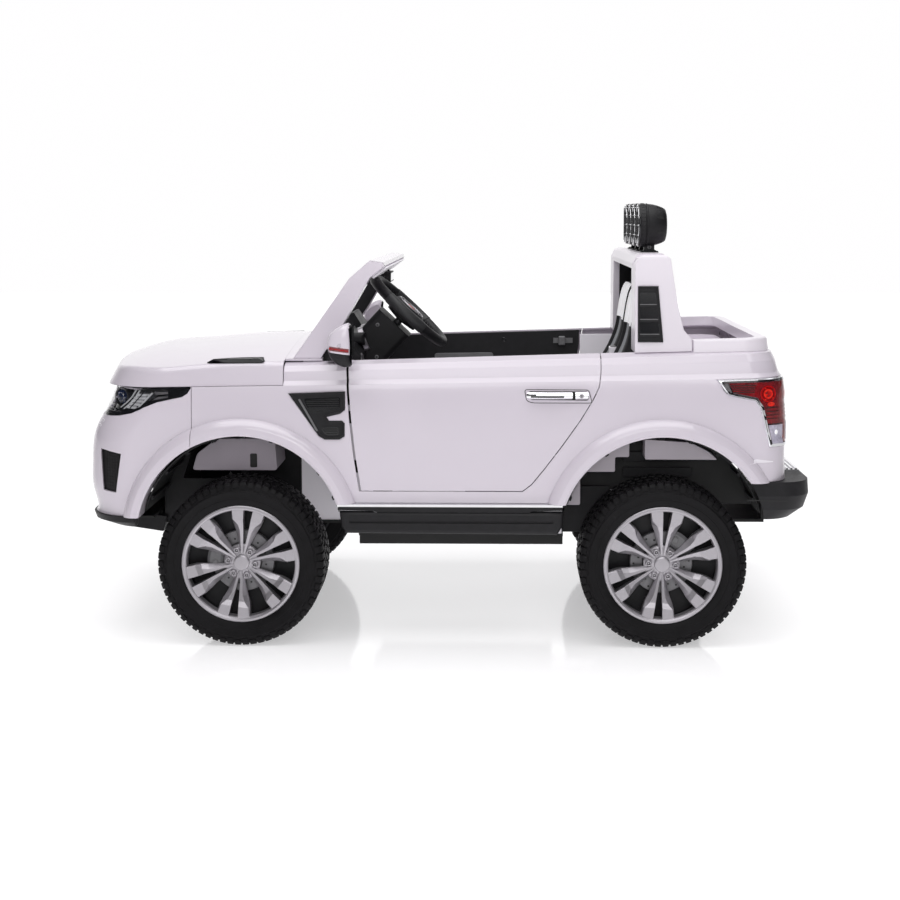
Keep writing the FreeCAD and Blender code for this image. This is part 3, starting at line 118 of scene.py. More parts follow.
# Near-black for the underside and black parts, and also painted shade in holes, slots and recesses.
DARK = material("dark_underside_and_painted_shade", (0.006, 0.006, 0.0065), 0.6, vary=0.3, scale=25, grain=0.1)
GREY = material("grey_satin", (0.15, 0.148, 0.155), 0.4, vary=0.1, scale=40, grain=0.06)
CHROME = material("chrome", (0.86, 0.86, 0.88), 0.07, metal=1.0, vary=0.03, scale=60, grain=0.005)
SILVER = material("silver_paint", (0.44, 0.42, 0.45), 0.34, metal=0.72, vary=0.05, scale=700, grain=0.03,
                  fine=2500, coat=0.25)
DISC = material("disc_grey", (0.20, 0.195, 0.205), 0.42, metal=0.5, vary=0.12, scale=120, grain=0.12,
                fine=500)
STEEL = material("dark_steel", (0.09, 0.09, 0.095), 0.38, metal=0.8, vary=0.15, scale=90, grain=0.08)
RUBBER = material("tyre_rubber", (0.0075, 0.0070, 0.0080), 0.52, vary=0.25, scale=35, grain=0.25, fine=700,
                  shine=0.15)
SMOKED = material("smoked_lens", (0.012, 0.013, 0.017), 0.04, vary=0.2, scale=20, grain=0.003, coat=1.0,
                  alpha=0.2)
CLEAR = material("clear_lens", (0.72, 0.73, 0.80), 0.05, vary=0.05, scale=30, grain=0.02, fine=300,
                 coat=1.0, alpha=0.42)
RED = material("red_lens", (0.25, 0.002, 0.005), 0.10, vary=0.3, scale=90, grain=0.05, fine=260, coat=0.45,
               alpha=0.72)
# The red reflector and bright red glow faintly: painted light that brightens the red on reflectors, buttons
# and trim.
RED_DEEP = material("red_reflector", (0.36, 0.004, 0.006), 0.16, vary=0.4, scale=160, grain=0.15, fine=180,
                    glow=0.1)
RED_BRIGHT = material("red_hot", (0.70, 0.020, 0.010), 0.2, vary=0.4, scale=240, grain=0.1, glow=0.1)
BLUE = material("projector_lens", (0.010, 0.024, 0.085), 0.05, vary=0.4, scale=120, grain=0.004, coat=1.0)
CLEAR_CORE = material("lamp_core", (0.50, 0.47, 0.58), 0.12, vary=0.2, scale=200, grain=0.1, fine=250,
                      coat=1.0)
# Painted shade: copies of the white darkened for the boxes deep in the front arches, and less for the rear
# ones.
ARCH_SHADE = material("arch_shade", (0.33, 0.295, 0.335), 0.5, vary=0.06, scale=9, grain=0.03)
ARCH_HALF_SHADE = material("arch_half_shade", (0.58, 0.53, 0.585), 0.5, vary=0.05, scale=9, grain=0.03)
# The reflector metal glows: painted light that stands for the bright reflection in the headlight fins and
# tail-light trim.
REFLECTOR_PAINTED_GLOW = material("reflector", (0.74, 0.74, 0.78), 0.16, metal=0.7, vary=0.15, scale=240, grain=0.1,
                     fine=300, glow=0.3)
SCREEN = material("screen", (0.34, 0.42, 0.54), 0.1, vary=0.5, scale=60, grain=0.004, coat=0.6, glow=0.15)
# The seat grey and seat white glow: painted light that brightens seat faces lying in shade.
SEAT_GREY_PAINTED_GLOW = material("seat_grey_painted_glow", (0.20, 0.205, 0.22), 0.5, vary=0.1, scale=70, grain=0.35, fine=520,
                     glow=0.3)
SEAT_BLACK = material("seat_black", (0.02, 0.02, 0.022), 0.5, vary=0.15, scale=70, grain=0.35, fine=520)
SEAT_WHITE_PAINTED_GLOW = material("seat_white_painted_glow", (0.80, 0.79, 0.81), 0.45, vary=0.03, scale=50, grain=0.28, fine=520,
                      glow=0.45)
THREAD = material("thread", (0.34, 0.33, 0.35), 0.7, vary=0.2, scale=900, grain=0.4)


# Mesh making; coordinates are millimetres until make()
class Kit:
    """Vertices and faces of one visual piece, with a material for each face."""

    def __init__(self):
        self.verts = []
        self.faces = []
        self.index = []
        self.mats = []

    def add(self, verts, faces, mat, move=None):
        base = len(self.verts)
        self.verts += [move @ Vector(p) if move else Vector(p) for p in verts]
        if mat not in self.mats:
            self.mats.append(mat)
        self.faces += [[base + i for i in f] for f in faces]
        self.index += [self.mats.index(mat)] * len(faces)
        return self

    def mirrored(self):
        other = Kit()
        other.verts = [Vector((p.x, -p.y, p.z)) for p in self.verts]
        other.faces = [list(reversed(f)) for f in self.faces]
        other.index = list(self.index)
        other.mats = list(self.mats)
        return other

    def mesh(self, name, angle=35):
        mesh = bpy.data.meshes.new(name)
        mesh.from_pydata([p * MM for p in self.verts], [], self.faces)
        for mat in self.mats:
            mesh.materials.append(mat)
        mesh.polygons.foreach_set("material_index", self.index)
        mesh.polygons.foreach_set("use_smooth", [True] * len(mesh.polygons))
        mesh.update()
        mesh.set_sharp_from_angle(angle=math.radians(angle))
        return mesh

    def make(self, name, body, slot, replaces=(), angle=35, bevel=0.0):
        return place(self.mesh(name, angle), name, body, slot, replaces, bevel)


def place(mesh, name, body, slot, replaces=(), bevel=0.0, move=None):
    obj = bpy.data.objects.new(name, mesh)
    SCENE.collection.objects.link(obj)
    if move:
        obj.matrix_world = move
    if bevel:
        soft = obj.modifiers.new("soft_edges", "BEVEL")
        soft.width = bevel * MM
        soft.segments = 2
        soft.limit_method = "ANGLE"
        soft.angle_limit = math.radians(40)
    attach(obj, body)
    if replaces:
        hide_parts(*replaces)
    return obj


def ring_faces(rows, count, closed=True, wrap=False):
    """Quads between rows of count points.

    closed joins the ends of each row, and wrap joins the last row to the first.
    """
    faces = []
    for r in range(rows if wrap else rows - 1):
        a = r * count
        b = (r + 1) % rows * count
        for i in range(count if closed else count - 1):
            j = (i + 1) % count
            faces.append([a + i, a + j, b + j, b + i])
    return faces


def box(lo, hi):
    xs, ys, zs = zip(lo, hi)
    verts = [(x, y, z) for x in xs for y in ys for z in zs]
    faces = [[0, 1, 3, 2], [4, 6, 7, 5], [0, 4, 5, 1], [2, 3, 7, 6], [0, 2, 6, 4], [1, 5, 7, 3]]
    return verts, faces


def lathe(profile, count=48):
    """Turn (radius, height) points about Z; the surface faces outward where the profile runs upward."""
    verts = []
    for r, h in profile:
        for k in range(count):
            a = 2 * math.pi * k / count
            verts.append((r * math.cos(a), r * math.sin(a), h))
    return verts, ring_faces(len(profile), count)


def torus(radius, tube, count=72, sides=14, flat=1.0):
    verts = []
    for k in range(count):
        a = 2 * math.pi * k / count
        for i in range(sides):
            b = 2 * math.pi * i / sides
            r = radius + tube * math.cos(b)
            verts.append((r * math.cos(a), r * math.sin(a), flat * tube * math.sin(b)))
    faces = ring_faces(count, sides, wrap=True)
    return verts, [list(reversed(f)) for f in faces]


def tube(points, radius, sides=8):
    """A round bar along points with closed ends."""
    points = [Vector(p) for p in points]
    verts = []
    for i, p in enumerate(points):
        ahead = (points[min(i + 1, len(points) - 1)] - points[max(i - 1, 0)]).normalized()
        side = ahead.cross(Vector((0.31, 0.17, 0.93))).normalized()
        up = ahead.cross(side)
        for k in range(sides):
            a = 2 * math.pi * k / sides
            verts.append(p + (side * math.cos(a) + up * math.sin(a)) * radius)
    faces = ring_faces(len(points), sides)
    last = len(verts) - sides
    return verts, faces + [list(range(sides - 1, -1, -1)), list(range(last, last + sides))]


def around(points):
    """The sides of a closed outline, as pairs of points."""
    return zip(points, points[1:] + points[:1])


def runs_left(points):
    """Whether an outline runs counter-clockwise."""
    return sum(a[0] * b[1] - b[0] * a[1] for a, b in around(points)) > 0


def slab(outline, z0, z1):
    """An outline in X and Y run from z0 to z1, z1 above z0."""
    points = outline if runs_left(outline) else outline[::-1]
    n = len(points)
    verts = [(x, y, z0) for x, y in points] + [(x, y, z1) for x, y in points]
    faces = [[i, (i + 1) % n, n + (i + 1) % n, n + i] for i in range(n)]
    return verts, faces + [list(range(n - 1, -1, -1)), list(range(n, 2 * n))]


def prism(outline, y0, y1):
    """An outline in X and Z run from y0 to y1, y1 above y0."""
    verts, faces = slab(outline, y0, y1)
    return [(x, y, z) for x, z, y in verts], [f[::-1] for f in faces]


def turned(degrees, axis="Z"):
    return Matrix.Rotation(math.radians(degrees), 4, axis)


def polar(degrees, radius, height=0.0):
    """The move to a place at an angle and a radius about Z."""
    return turned(degrees) @ Matrix.Translation((radius, 0, height))


def oblong(a0, a1, b0, b1):
    return [(a0, b0), (a0, b1), (a1, b1), (a1, b0)]


def rounded_outline(points, radius, steps=4):
    """Round the corners of a closed outline with arcs made of steps pieces."""
    done = []
    n = len(points)
    for i in range(n):
        p = Vector(points[i])
        to_a = Vector(points[i - 1]) - p
        to_b = Vector(points[(i + 1) % n]) - p
        cut = min(radius, to_a.length * 0.45, to_b.length * 0.45)
        a = p + to_a.normalized() * cut
        b = p + to_b.normalized() * cut
        for k in range(steps + 1):
            t = k / steps
            done.append(tuple(a * (1 - t) ** 2 + p * 2 * t * (1 - t) + b * t * t))
    return done


def inset(points, amount):
    """Move the sides of an outline inward."""
    sign = 1.0 if runs_left(points) else -1.0
    moved = []
    for before, here, after in zip(points[-1:] + points[:-1], points, points[1:] + points[:1]):
        d1 = (Vector(here) - Vector(before)).normalized()
        d2 = (Vector(after) - Vector(here)).normalized()
        n = Vector((-d1.y - d2.y, d1.x + d2.x))
        moved.append(tuple(Vector(here) + n * (sign * amount * 2 / max(n.length_squared, 0.6))))
    return moved


# The body surface, read off the CAD nodes
class Surface:
    """Outermost points of some CAD nodes seen from the left side, the front or the rear, in millimetres.

    The side view is read by X and Z, the front and rear views by Y and Z.
    """

    def __init__(self, view, *names):
        verts = []
        faces = []
        for name in names:
            mesh = NODES[name].data
            base = len(verts)
            verts += [v.co.copy() for v in mesh.vertices]
            faces += [[base + i for i in p.vertices] for p in mesh.polygons]
        self.tree = BVHTree.FromPolygons(verts, faces)
        self.view = view
        self.turned = view != "front"

    def depth(self, a, z):
        """How far out the surface is, along Y, X or -X."""
        if self.view == "side":
            start, step, near = (a, 1000, z), (0, -1, 0), (a, 350, z)
        else:
            out = 1 if self.view == "front" else -1
            start, step, near = (out * 1000, a, z), (-out, 0, 0), (out * 690, a, z)
        hit = self.tree.ray_cast(Vector(start) * MM, Vector(step), 0.95)[0]
        if hit is None:
            hit = self.tree.find_nearest(Vector(near) * MM)[0]
        return hit.y * 1000 if self.view == "side" else abs(hit.x) * 1000

    def point(self, a, z, lift):
        out = self.depth(a, z) + lift
        if self.view == "side":
            return Vector((a, out, z))
        return Vector((out if self.view == "front" else -out, a, z))


class KitSurface(Surface):
    """The left side of a kit."""

    def __init__(self, kit):
        self.tree = BVHTree.FromPolygons([p * MM for p in kit.verts], kit.faces)
        self.view = "side"
        self.turned = True


def divided(a, b, parts):
    """Points that divide the way from a to b into parts, without b itself."""
    parts = max(1, parts)
    return [(a[0] + (b[0] - a[0]) * k / parts, a[1] + (b[1] - a[1]) * k / parts) for k in range(parts)]


def patch(surface, outline, lift, thick, step=9.0):
    """A plate that follows a surface, its outline drawn in the surface's view and its face lifted off it."""
    ring = outline if runs_left(outline) else outline[::-1]
    loop = []
    for a, b in around(ring):
        loop += divided(a, b, int(math.dist(a, b) / step))
    n = len(loop)
    xs = [p[0] for p in loop]
    zs = [p[1] for p in loop]
    inner = []
    for i in range(1, int((max(xs) - min(xs)) / step) + 1):
        for j in range(1, int((max(zs) - min(zs)) / step) + 1):
            inner.append((min(xs) + i * step, min(zs) + j * step))
    points = [Vector(p) for p in loop + inner]
    edges = [(i, (i + 1) % n) for i in range(n)]
    made = delaunay_2d_cdt(points, edges, [], 1, 0.001)
    flat = made[0]
    faces = made[2]
    used = sorted({i for f in faces for i in f})
    order = {old: new for new, old in enumerate(used)}
    count = len(used)
    verts = [surface.point(flat[i].x, flat[i].y, lift) for i in used]
    verts += [surface.point(flat[i].x, flat[i].y, lift - thick) for i in used]
    tris = [[order[i] for i in f] for f in faces]
    turned = [list(reversed(t)) for t in tris]
    if not surface.turned:
        tris, turned = turned, tris
    seen = {}
    for t in turned:
        for a, b in around(t):
            seen[(a, b)] = True
    walls = [[b, a, count + a, count + b] for a, b in seen if (b, a) not in seen]
    return verts, turned + [[count + i for i in t] for t in tris] + walls


def both(kit, name, body, slot, replaces=(), angle=35, bevel=0.0):
    """Make a left piece and its mirror image on the same body."""
    kit.make(name + "_l", body, slot, replaces, angle, bevel)
    kit.mirrored().make(name + "_r", body, slot, (), angle, bevel)


# Camera, light and floor, in metres; the camera was fitted to the four wheel circles in the picture
EYE = (-0.1075, 3.128, 0.852)
SIGHT = (0.0171, -0.9957, -0.0910)
LENS = 57.63
SHIFT_X = -0.0268
SHIFT_Y = -0.1182
FLOOR = 12


def stand(obj, where, sight):
    """Put a camera or lamp at a place, looking along sight."""
    SCENE.collection.objects.link(obj)
    obj.location = where
    obj.rotation_mode = "QUATERNION"
    obj.rotation_quaternion = sight.to_track_quat("-Z", "Y")


def studio():
    cam = bpy.data.cameras.new("camera")
    eye = bpy.data.objects.new("camera", cam)
    stand(eye, EYE, Vector(SIGHT))
    cam.sensor_width = 36.0
    cam.lens = LENS
    cam.shift_x = SHIFT_X
    cam.shift_y = SHIFT_Y
    cam.clip_start = 0.05
    cam.clip_end = 60.0
    SCENE.camera = eye

    floor = bpy.data.meshes.new("floor")
    corners = [(-FLOOR, -FLOOR, 0), (FLOOR, -FLOOR, 0), (FLOOR, FLOOR, 0), (-FLOOR, FLOOR, 0)]
    floor.from_pydata(corners, [], [[0, 1, 2, 3]])
    floor.materials.append(material("floor", (0.90, 0.895, 0.905), 0.09, vary=0.01, scale=3, grain=0.002,
                                    glow=0.5))
    ground = bpy.data.objects.new("floor", floor)
    SCENE.collection.objects.link(ground)

    sky()
    lamp("top", (0.0, 0.45, 2.9), (0, 0, 0.3), 3.0, 70)
    lamp("front", (-0.3, 3.8, 2.1), (0, 0, 0.4), 2.2, 43)
    SCENE.view_settings.view_transform = "Standard"
    SCENE.view_settings.look = "None"


def sky():
    """White as a backdrop, but lighting the car from behind only, so that black plastic stays black."""
    world = bpy.data.worlds.new("world")
    SCENE.world = world
    world.use_nodes = True
    tree = world.node_tree
    place = tree.nodes.new("ShaderNodeTexCoord")
    split = tree.nodes.new("ShaderNodeSeparateXYZ")
    tree.links.new(place.outputs["Generated"], split.inputs["Vector"])
    fade = tree.nodes.new("ShaderNodeMapRange")
    for key, value in (("From Min", -0.55), ("From Max", -0.88), ("To Min", 0.05), ("To Max", 1.0)):
        fade.inputs[key].default_value = value
    tree.links.new(split.outputs["Y"], fade.inputs["Value"])
    glow = tree.nodes["Background"]
    glow.inputs["Color"].default_value = (1.0, 0.995, 1.0, 1)
    seen = tree.nodes.new("ShaderNodeLightPath")
    brighter = tree.nodes.new("ShaderNodeMath")
    brighter.operation = "MAXIMUM"
    tree.links.new(fade.outputs["Result"], brighter.inputs[0])
    tree.links.new(seen.outputs["Is Camera Ray"], brighter.inputs[1])
    tree.links.new(brighter.outputs["Value"], glow.inputs["Strength"])


def lamp(name, where, target, size, watts):
    data = bpy.data.lights.new(name, "AREA")
    data.shape = "SQUARE"
    data.size = size
    data.energy = watts
    stand(bpy.data.objects.new("lamp_" + name, data), where, Vector(target) - Vector(where))


# CAD nodes that stay in view take a material and smooth shading
def dress():
    looks = {
        WHITE: "front_bumper hood body_side_left body_side_right tail_panel windscreen_frame "
               "door_left door_right",
        WHITE_BED_PAINTED_GLOW: "bed_tub roll_bar",
        WHITE_TRIM_PAINTED_GLOW: "cabin_tub",
        BLACK: "front_lip dashboard column_shroud roll_bar_panel rear_bumper side_steps seat_bench "
               "door_trim_left door_trim_right accelerator_pedal grilles_and_vents front_bulkhead",
        DARK: "floor_pan drive_units battery_and_controller "
              "wheel_front_left wheel_front_right wheel_rear_left wheel_rear_right",
        BLACK_GLOSS: "headlight_housings gear_lever",
        STEEL: "front_axle_beam rear_axle knuckle_left knuckle_right tie_rod steering_shaft",
        RED_BRIGHT: "start_button",
        GREY: "door_latch_left door_latch_right",
        CHROME: "bright_trim",
    }
    for mat, names in looks.items():
        for name in names.split():
            node = NODES[name]
            node.data.materials.clear()
            node.data.materials.append(mat)
            node.data.polygons.foreach_set("use_smooth", [True] * len(node.data.polygons))


# Wheels
def on_axle(kit):
    """Turn a piece lathed about Z so that its axis lies along Y, outer face to the left."""
    turn = Matrix(((1, 0, 0), (0, 0, 1), (0, -1, 0))).to_4x4()
    kit.verts = [turn @ p for p in kit.verts]
    return kit


LUGS = 66


def tyre_mesh():
    kit = Kit()
    side = [(112, 46), (115, 50.5), (120, 53.5), (130, 55.2), (131, 54.6), (132, 55.3), (141, 56),
            (143, 56.8), (145, 56.8), (146.5, 55.2), (152, 54), (158.5, 50.5), (160.5, 45)]
    outer = side + [(160.8, 20)]
    profile = [(r, -h) for r, h in outer] + [(r, h) for r, h in reversed(outer)]
    kit.add(*lathe(profile + [(112, 46), (112, -46)], 132), RUBBER)
    pitch = 2 * math.pi / LUGS
    for k in range(LUGS):
        a = k * pitch
        low = 147.5 if k % 2 else 151.5
        shoulder = [(low, 54.6), (low + 1.5, 56.0), (157, 54.9), (162.4, 50.5), (164, 45), (164, 29),
                    (157, 27)]
        lug(kit, a, 0.40 * pitch, shoulder, 1, 0.0)
        lug(kit, a + pitch / 2, 0.40 * pitch, shoulder, -1, 0.0)
        middle = [(157, 23.5), (163.6, 22.5), (163.9, 4.5), (157, 3.0)]
        lug(kit, a + pitch * 0.3, 0.34 * pitch, middle, 1, 0.35 * pitch)
        lug(kit, a + pitch * 0.8, 0.34 * pitch, middle, -1, 0.35 * pitch)
    return on_axle(kit).mesh("tyre", 30)


def lug(kit, angle, half, section, side, slant):
    """One tread block: a section in radius and height run over a small angle, slanted across the tread."""
    verts = []
    n = len(section)
    span = section[0][1] - section[-1][1]
    for step in (-1, 1):
        for r, h in section:
            taper = 1.0 if r < 158 else 0.86
            a = angle + step * half * taper + slant * (section[0][1] - h) / span
            verts.append((r * math.cos(a), r * math.sin(a), side * h))
    faces = [[i, n + i, n + (i + 1) % n, (i + 1) % n] for i in range(n)]
    faces += [list(range(n)), list(range(2 * n - 1, n - 1, -1))]
    if side > 0:
        faces = [list(reversed(f)) for f in faces]
    kit.add(verts, faces, RUBBER)


# Spoke sections: radius, slot edge, ridge edge, facet edge, ridge height, facet height
SPOKE = ((15, 0.5, 3.4, 4.6, 37.5, 36.0), (30, 1.6, 6.0, 9.5, 39.0, 34.0), (48, 3.2, 8.6, 15.5, 41.0, 33.5),
         (64, 4.9, 11.6, 21.5, 43.5, 34.5), (76, 6.2, 17.5, 27.0, 46.0, 38.5),
         (86, 7.3, 27.5, 30.0, 50.6, 47.5), (107.5, 9.2, 32.5, 33.0, 51.6, 51.0))
SPOKE_FOOT = 29


def cover_mesh():
    """Spoked cover: six pairs of spokes with a slot in each pair, a ring, a hub and its nuts."""
    kit = Kit()
    ring = [(116.4, 46), (116.4, 51.6), (114.8, 53.0), (111, 53.2), (108, 52.2), (106.2, 49), (105.5, 34)]
    kit.add(*lathe(ring, 120), SILVER)
    kit.add(*lathe([(15.8, 36), (15.6, 40.4), (14.6, 42.0), (12, 42.8), (0.01, 43.0)], 48), SILVER)
    kit.add(*lathe([(36.5, 26), (36, 32.5), (32, 35.2), (20, 37.0), (14, 37.5)], 60), SILVER)
    crown = [(6.5, 33), (6.3, 40.2), (5.4, 42.2), (4.4, 42.6), (3.1, 41.6), (2.9, 38.4)]
    for k in range(6):
        for side in (1, -1):
            spoke(kit, side, turned(60 * k))
        nut = polar(60 * k + 30, 26.5)
        kit.add(*lathe([(2.9, 38.6), (0.01, 38.6)], 20), DISC, nut)
        kit.add(*lathe(crown, 24), SILVER, nut)
        kit.add(*lathe([(2.2, 38.6), (1.5, 40.2), (0.01, 40.4)], 16), SILVER, nut)
    return on_axle(kit).mesh("cover", 10)


def spoke(kit, side, turn):
    """Half of a pair of spokes, from the hub out to the ring."""
    verts = []
    for r, slot, ridge, facet, high, low in SPOKE:
        section = ((slot, SPOKE_FOOT), (slot, high), (ridge, high), (facet, low), (facet, SPOKE_FOOT))
        verts += [(r, side * across, h) for across, h in section]
    faces = ring_faces(len(SPOKE), 5, closed=False)
    if side > 0:
        faces = [list(reversed(f)) for f in faces]
    kit.add(verts, faces, SILVER, turn)


def backing_mesh():
    """Black barrel with the grey brake disc and caliper seen through the spokes."""
    kit = Kit()
    barrel = [(111.5, -52), (115.5, -50), (115.5, 50), (110, 50), (108, 14), (64, 8), (30, 8), (14, 10)]
    kit.add(*lathe([(14, -30), (60, -30), (104, -34), (108, -50)] + barrel, 96), BLACK)
    kit.add(*lathe([(62, 9), (62, 19), (60.5, 20.5), (38, 20.5), (36, 18.5), (36, 9)], 72), DISC)
    kit.add(*lathe([(36, 17), (33, 24), (24, 26), (9, 26)], 48), GREY)
    for k in range(24):
        hole = polar(15 * k, 54.5 if k % 2 else 46)
        kit.add(*lathe([(2.0, 20.8), (0.01, 20.8)], 12), DARK, hole)
    arc = ((66, 12), (70, 27), (64, 31), (44, 31), (38, 27), (38, 20))
    steps = 9
    verts = []
    for i in range(steps + 1):
        a = math.radians(-24 + 48 * i / steps)
        verts += [(r * math.cos(a), r * math.sin(a), h) for r, h in arc]
    n = len(arc)
    faces = ring_faces(steps + 1, n, closed=False)
    faces += [list(range(n)), list(range(n * steps + n - 1, n * steps - 1, -1))]
    kit.add(verts, [list(reversed(f)) for f in faces], GREY)
    for a in (-13, 13):
        kit.add(*lathe([(6, 30), (6, 33), (4.5, 34), (0.01, 34)], 24), GREY, polar(a, 54))
    return on_axle(kit).mesh("backing", 30)


def wheels():
    tyre = tyre_mesh()
    cover = cover_mesh()
    backing = backing_mesh()
    # pair and brake turn the spokes and the caliper to the angles at which the car is shown
    for end, x, pair, brake in (("front", FRONT_X, 81.2, -10), ("rear", REAR_X, 85.3, -132)):
        looks = ((tyre, "tyre_", "tyre", "tyre_", 0.5, 0),
                 (cover, "cover_", "silver_plastic", "wheel_cover_", 0.35, pair),
                 (backing, "backing_", "black_plastic", "wheel_", 0.0, brake))
        for hand, side in (("left", 1), ("right", -1)):
            tail = end + "_" + hand
            seat = Matrix.Translation(Vector((x, side * WHEEL_Y, AXLE_Z)) * MM)
            if side < 0:
                seat = seat @ turned(180)
            for mesh, name, slot, node, bevel, degrees in looks:
                move = seat @ turned(degrees, "Y")
                place(mesh, name + tail + "_look", "road_wheel_" + tail, slot, [node + tail], bevel, move)


# Helpers for pieces that lie on the body; bars stop short of their frame by a gap
BAR_GAP = 0.6


def aim(axis, where):
    """The move that stands a piece drawn about Z on a point, with its Z along axis."""
    turn = Vector((0, 0, 1)).rotation_difference(Vector(axis)).to_matrix().to_4x4()
    return Matrix.Translation(Vector(where)) @ turn


def basis(x, y, z, origin):
    return Matrix((tuple(x) + (0,), tuple(y) + (0,), tuple(z) + (0,), tuple(origin) + (1,))).transposed()


def resampled(points, step, closed):
    done = []
    ends = points[1:] + points[:1] if closed else points[1:]
    for a, b in zip(points, ends):
        done += divided(a, b, round(math.dist(a, b) / step))
    return done if closed else done + [points[-1]]


def band(surface, points, width, lift, thick, closed=True, step=8.0):
    """A raised line of the given width along points on a surface; a closed one lies inside its outline."""
    line = resampled(list(points), step, closed)
    if closed:
        sides = line, inset(line, width)
    else:
        sides = offset_line(line, width / 2), offset_line(line, -width / 2)
    n = len(line)
    rows = []
    for row, high in ((sides[0], lift - thick), (sides[0], lift), (sides[1], lift), (sides[1], lift - thick)):
        rows.append([surface.point(a, z, high) for a, z in row])
    verts = [p for row in rows for p in row]
    faces = ring_faces(4, n, closed)
    if not closed:
        faces += [[0, n, 2 * n, 3 * n], [n - 1, 4 * n - 1, 3 * n - 1, 2 * n - 1]]
    flip = (closed and runs_left(line)) == surface.turned
    return verts, [f[::-1] for f in faces] if flip else faces


def offset_line(line, amount):
    moved = []
    for i, p in enumerate(line):
        a = Vector(line[max(i - 1, 0)])
        b = Vector(line[min(i + 1, len(line) - 1)])
        d = (b - a).normalized()
        moved.append((p[0] - d.y * amount, p[1] + d.x * amount))
    return moved


def spans(outline, level):
    """The stretches of a horizontal line at level that lie inside an outline."""
    hits = []
    for a, b in around(outline):
        if (a[1] > level) != (b[1] > level):
            hits.append(a[0] + (b[0] - a[0]) * (level - a[1]) / (b[1] - a[1]))
    hits.sort()
    return list(zip(hits[::2], hits[1::2]))


def bars(kit, surface, outline, pitch, width, lift, thick, mat, upright=False):
    """Level or upright bars across an outline."""
    shape = [p[::-1] for p in outline] if upright else outline
    low = min(p[1] for p in shape)
    high = max(p[1] for p in shape)
    count = int((high - low) / pitch)
    for k in range(1, count + 1):
        level = low + (high - low) * k / (count + 1)
        for a, b in spans(shape, level):
            if b - a > 2 * width:
                ends = [(a + BAR_GAP, level), (b - BAR_GAP, level)]
                line = [p[::-1] for p in ends] if upright else ends
                kit.add(*band(surface, line, width, lift, thick, False), mat)


def beside(x, outline):
    """An outline drawn from x, in the car's own places."""
    return [(x + dx, z) for dx, z in outline]


def circle(x, z, radius, count=24, tall=1.0):
    turns = [2 * math.pi * k / count for k in range(count)]
    return [(x + radius * math.cos(t), z + radius * tall * math.sin(t)) for t in turns]


def screw(kit, where, axis, radius, mat):
    """A round head with a cross slot, standing on a point."""
    move = aim(axis, where)
    kit.add(*lathe([(radius, -1.5), (radius, 0.7), (radius * 0.7, 1.3), (0.01, 1.4)], 20), mat, move)
    for a, b in ((0.55, 0.14), (0.14, 0.55)):
        kit.add(*box((-radius * a, -radius * b, 1.2), (radius * a, radius * b, 1.5)), DARK, move)


# Steering wheel and column
def steering():
    move = basis(CRANK, (0, 1, 0), -DOWN, STEER)
    kit = Kit()
    kit.add(*torus(95, 11, 96, 20), BLACK, move)
    for start in (62, 242):
        arc = [math.radians(start + 56 * k / 16) for k in range(17)]
        kit.add(*tube([(95 * math.cos(a), 95 * math.sin(a), 0) for a in arc], 11.9, 18), SEAT_BLACK, move)
    for k in range(60):
        a = 2 * math.pi * k / 60
        inner = Vector((math.cos(a) * 84.4, math.sin(a) * 84.4, 0))
        ahead = Vector((-math.sin(a), math.cos(a), 0.6)) * 2.2
        kit.add(*tube([inner - ahead, inner + ahead], 0.5, 5), GREY, move)
    hub = [(12, -28), (36, -24), (39, -8), (38, 3), (34, 8.4), (28, 10), (25, 9), (24.8, 1)]
    kit.add(*lathe(hub, 56), BLACK, move)
    kit.add(*torus(31, 1.3, 64, 8), SILVER, move @ Matrix.Translation((0, 0, 9.3)))
    # Spokes and their trim: half outline, low and high faces, material
    arms = (([(-17, 30), (-20, 62), (-16, 90), (16, 90), (13, 62), (15, 30)], -8, 2, BLACK),
            ([(-11, 40), (-13, 64), (-9, 82), (-4, 82), (-6, 64), (-5, 40)], 1, 4, SILVER),
            ([(3, 40), (3, 58), (8, 58), (8, 40)], 1, 3.6, RED_BRIGHT),
            ([(-28, 5), (-62, 9), (-90, 13), (-90, 21), (-62, 17), (-26, 14)], -8, 1, BLACK),
            ([(-36, 8), (-84, 15), (-84, 18), (-36, 11)], 0.5, 2.4, SILVER))
    for side in (1, -1):
        for outline, low, high, mat in arms:
            kit.add(*slab([(x, side * y) for x, y in outline], low, high), mat, move)
    kit.make("steering_wheel_look", "steering_column", "black_plastic", ["steering_wheel"], 40, 0.8)
    pad = Kit()
    pad.add(*lathe([(23.6, 0), (23.6, 7), (21.5, 9.2), (13, 10.6), (0.01, 11)], 48), BLACK, move)
    pad.add(*torus(21, 1.0, 40, 8), SILVER, move @ Matrix.Translation((0, 0, 9.6)))
    pad.add(*slab([(-9, 13), (9, 13), (8, 18), (-8, 18)], 9, 11.2), RED_BRIGHT, move)
    horn = [(0, -7), (4, -3), (4, 3), (0, 7), (-2, 3), (-6, 3), (-6, -3), (-2, -3)]
    pad.add(*slab(horn, 10, 11.4), GREY, move)
    pad.make("horn_pad_look", "horn", "grey_plastic", ["horn_button"], 35)
    shroud = Kit()
    for across, down in ((-18, 112), (26, 62)):
        for side in (1, -1):
            where = STEER + CRANK * across + DOWN * down + Vector((0, side * 44, 0))
            screw(shroud, where, (0, side, 0), 4.2, GREY)
    shroud.make("shroud_screws", "chassis", "grey_plastic")


# Lamps
def copied_faces(node, keep, mat):
    """The faces of a CAD node whose middle keep() accepts, as a kit."""
    mesh = NODES[node].data
    kit = Kit()
    picked = [p for p in mesh.polygons if keep(p.center * 1000)]
    used = sorted({i for p in picked for i in p.vertices})
    order = {old: new for new, old in enumerate(used)}
    kit.add([mesh.vertices[i].co * 1000 for i in used], [[order[i] for i in p.vertices] for p in picked], mat)
    return kit


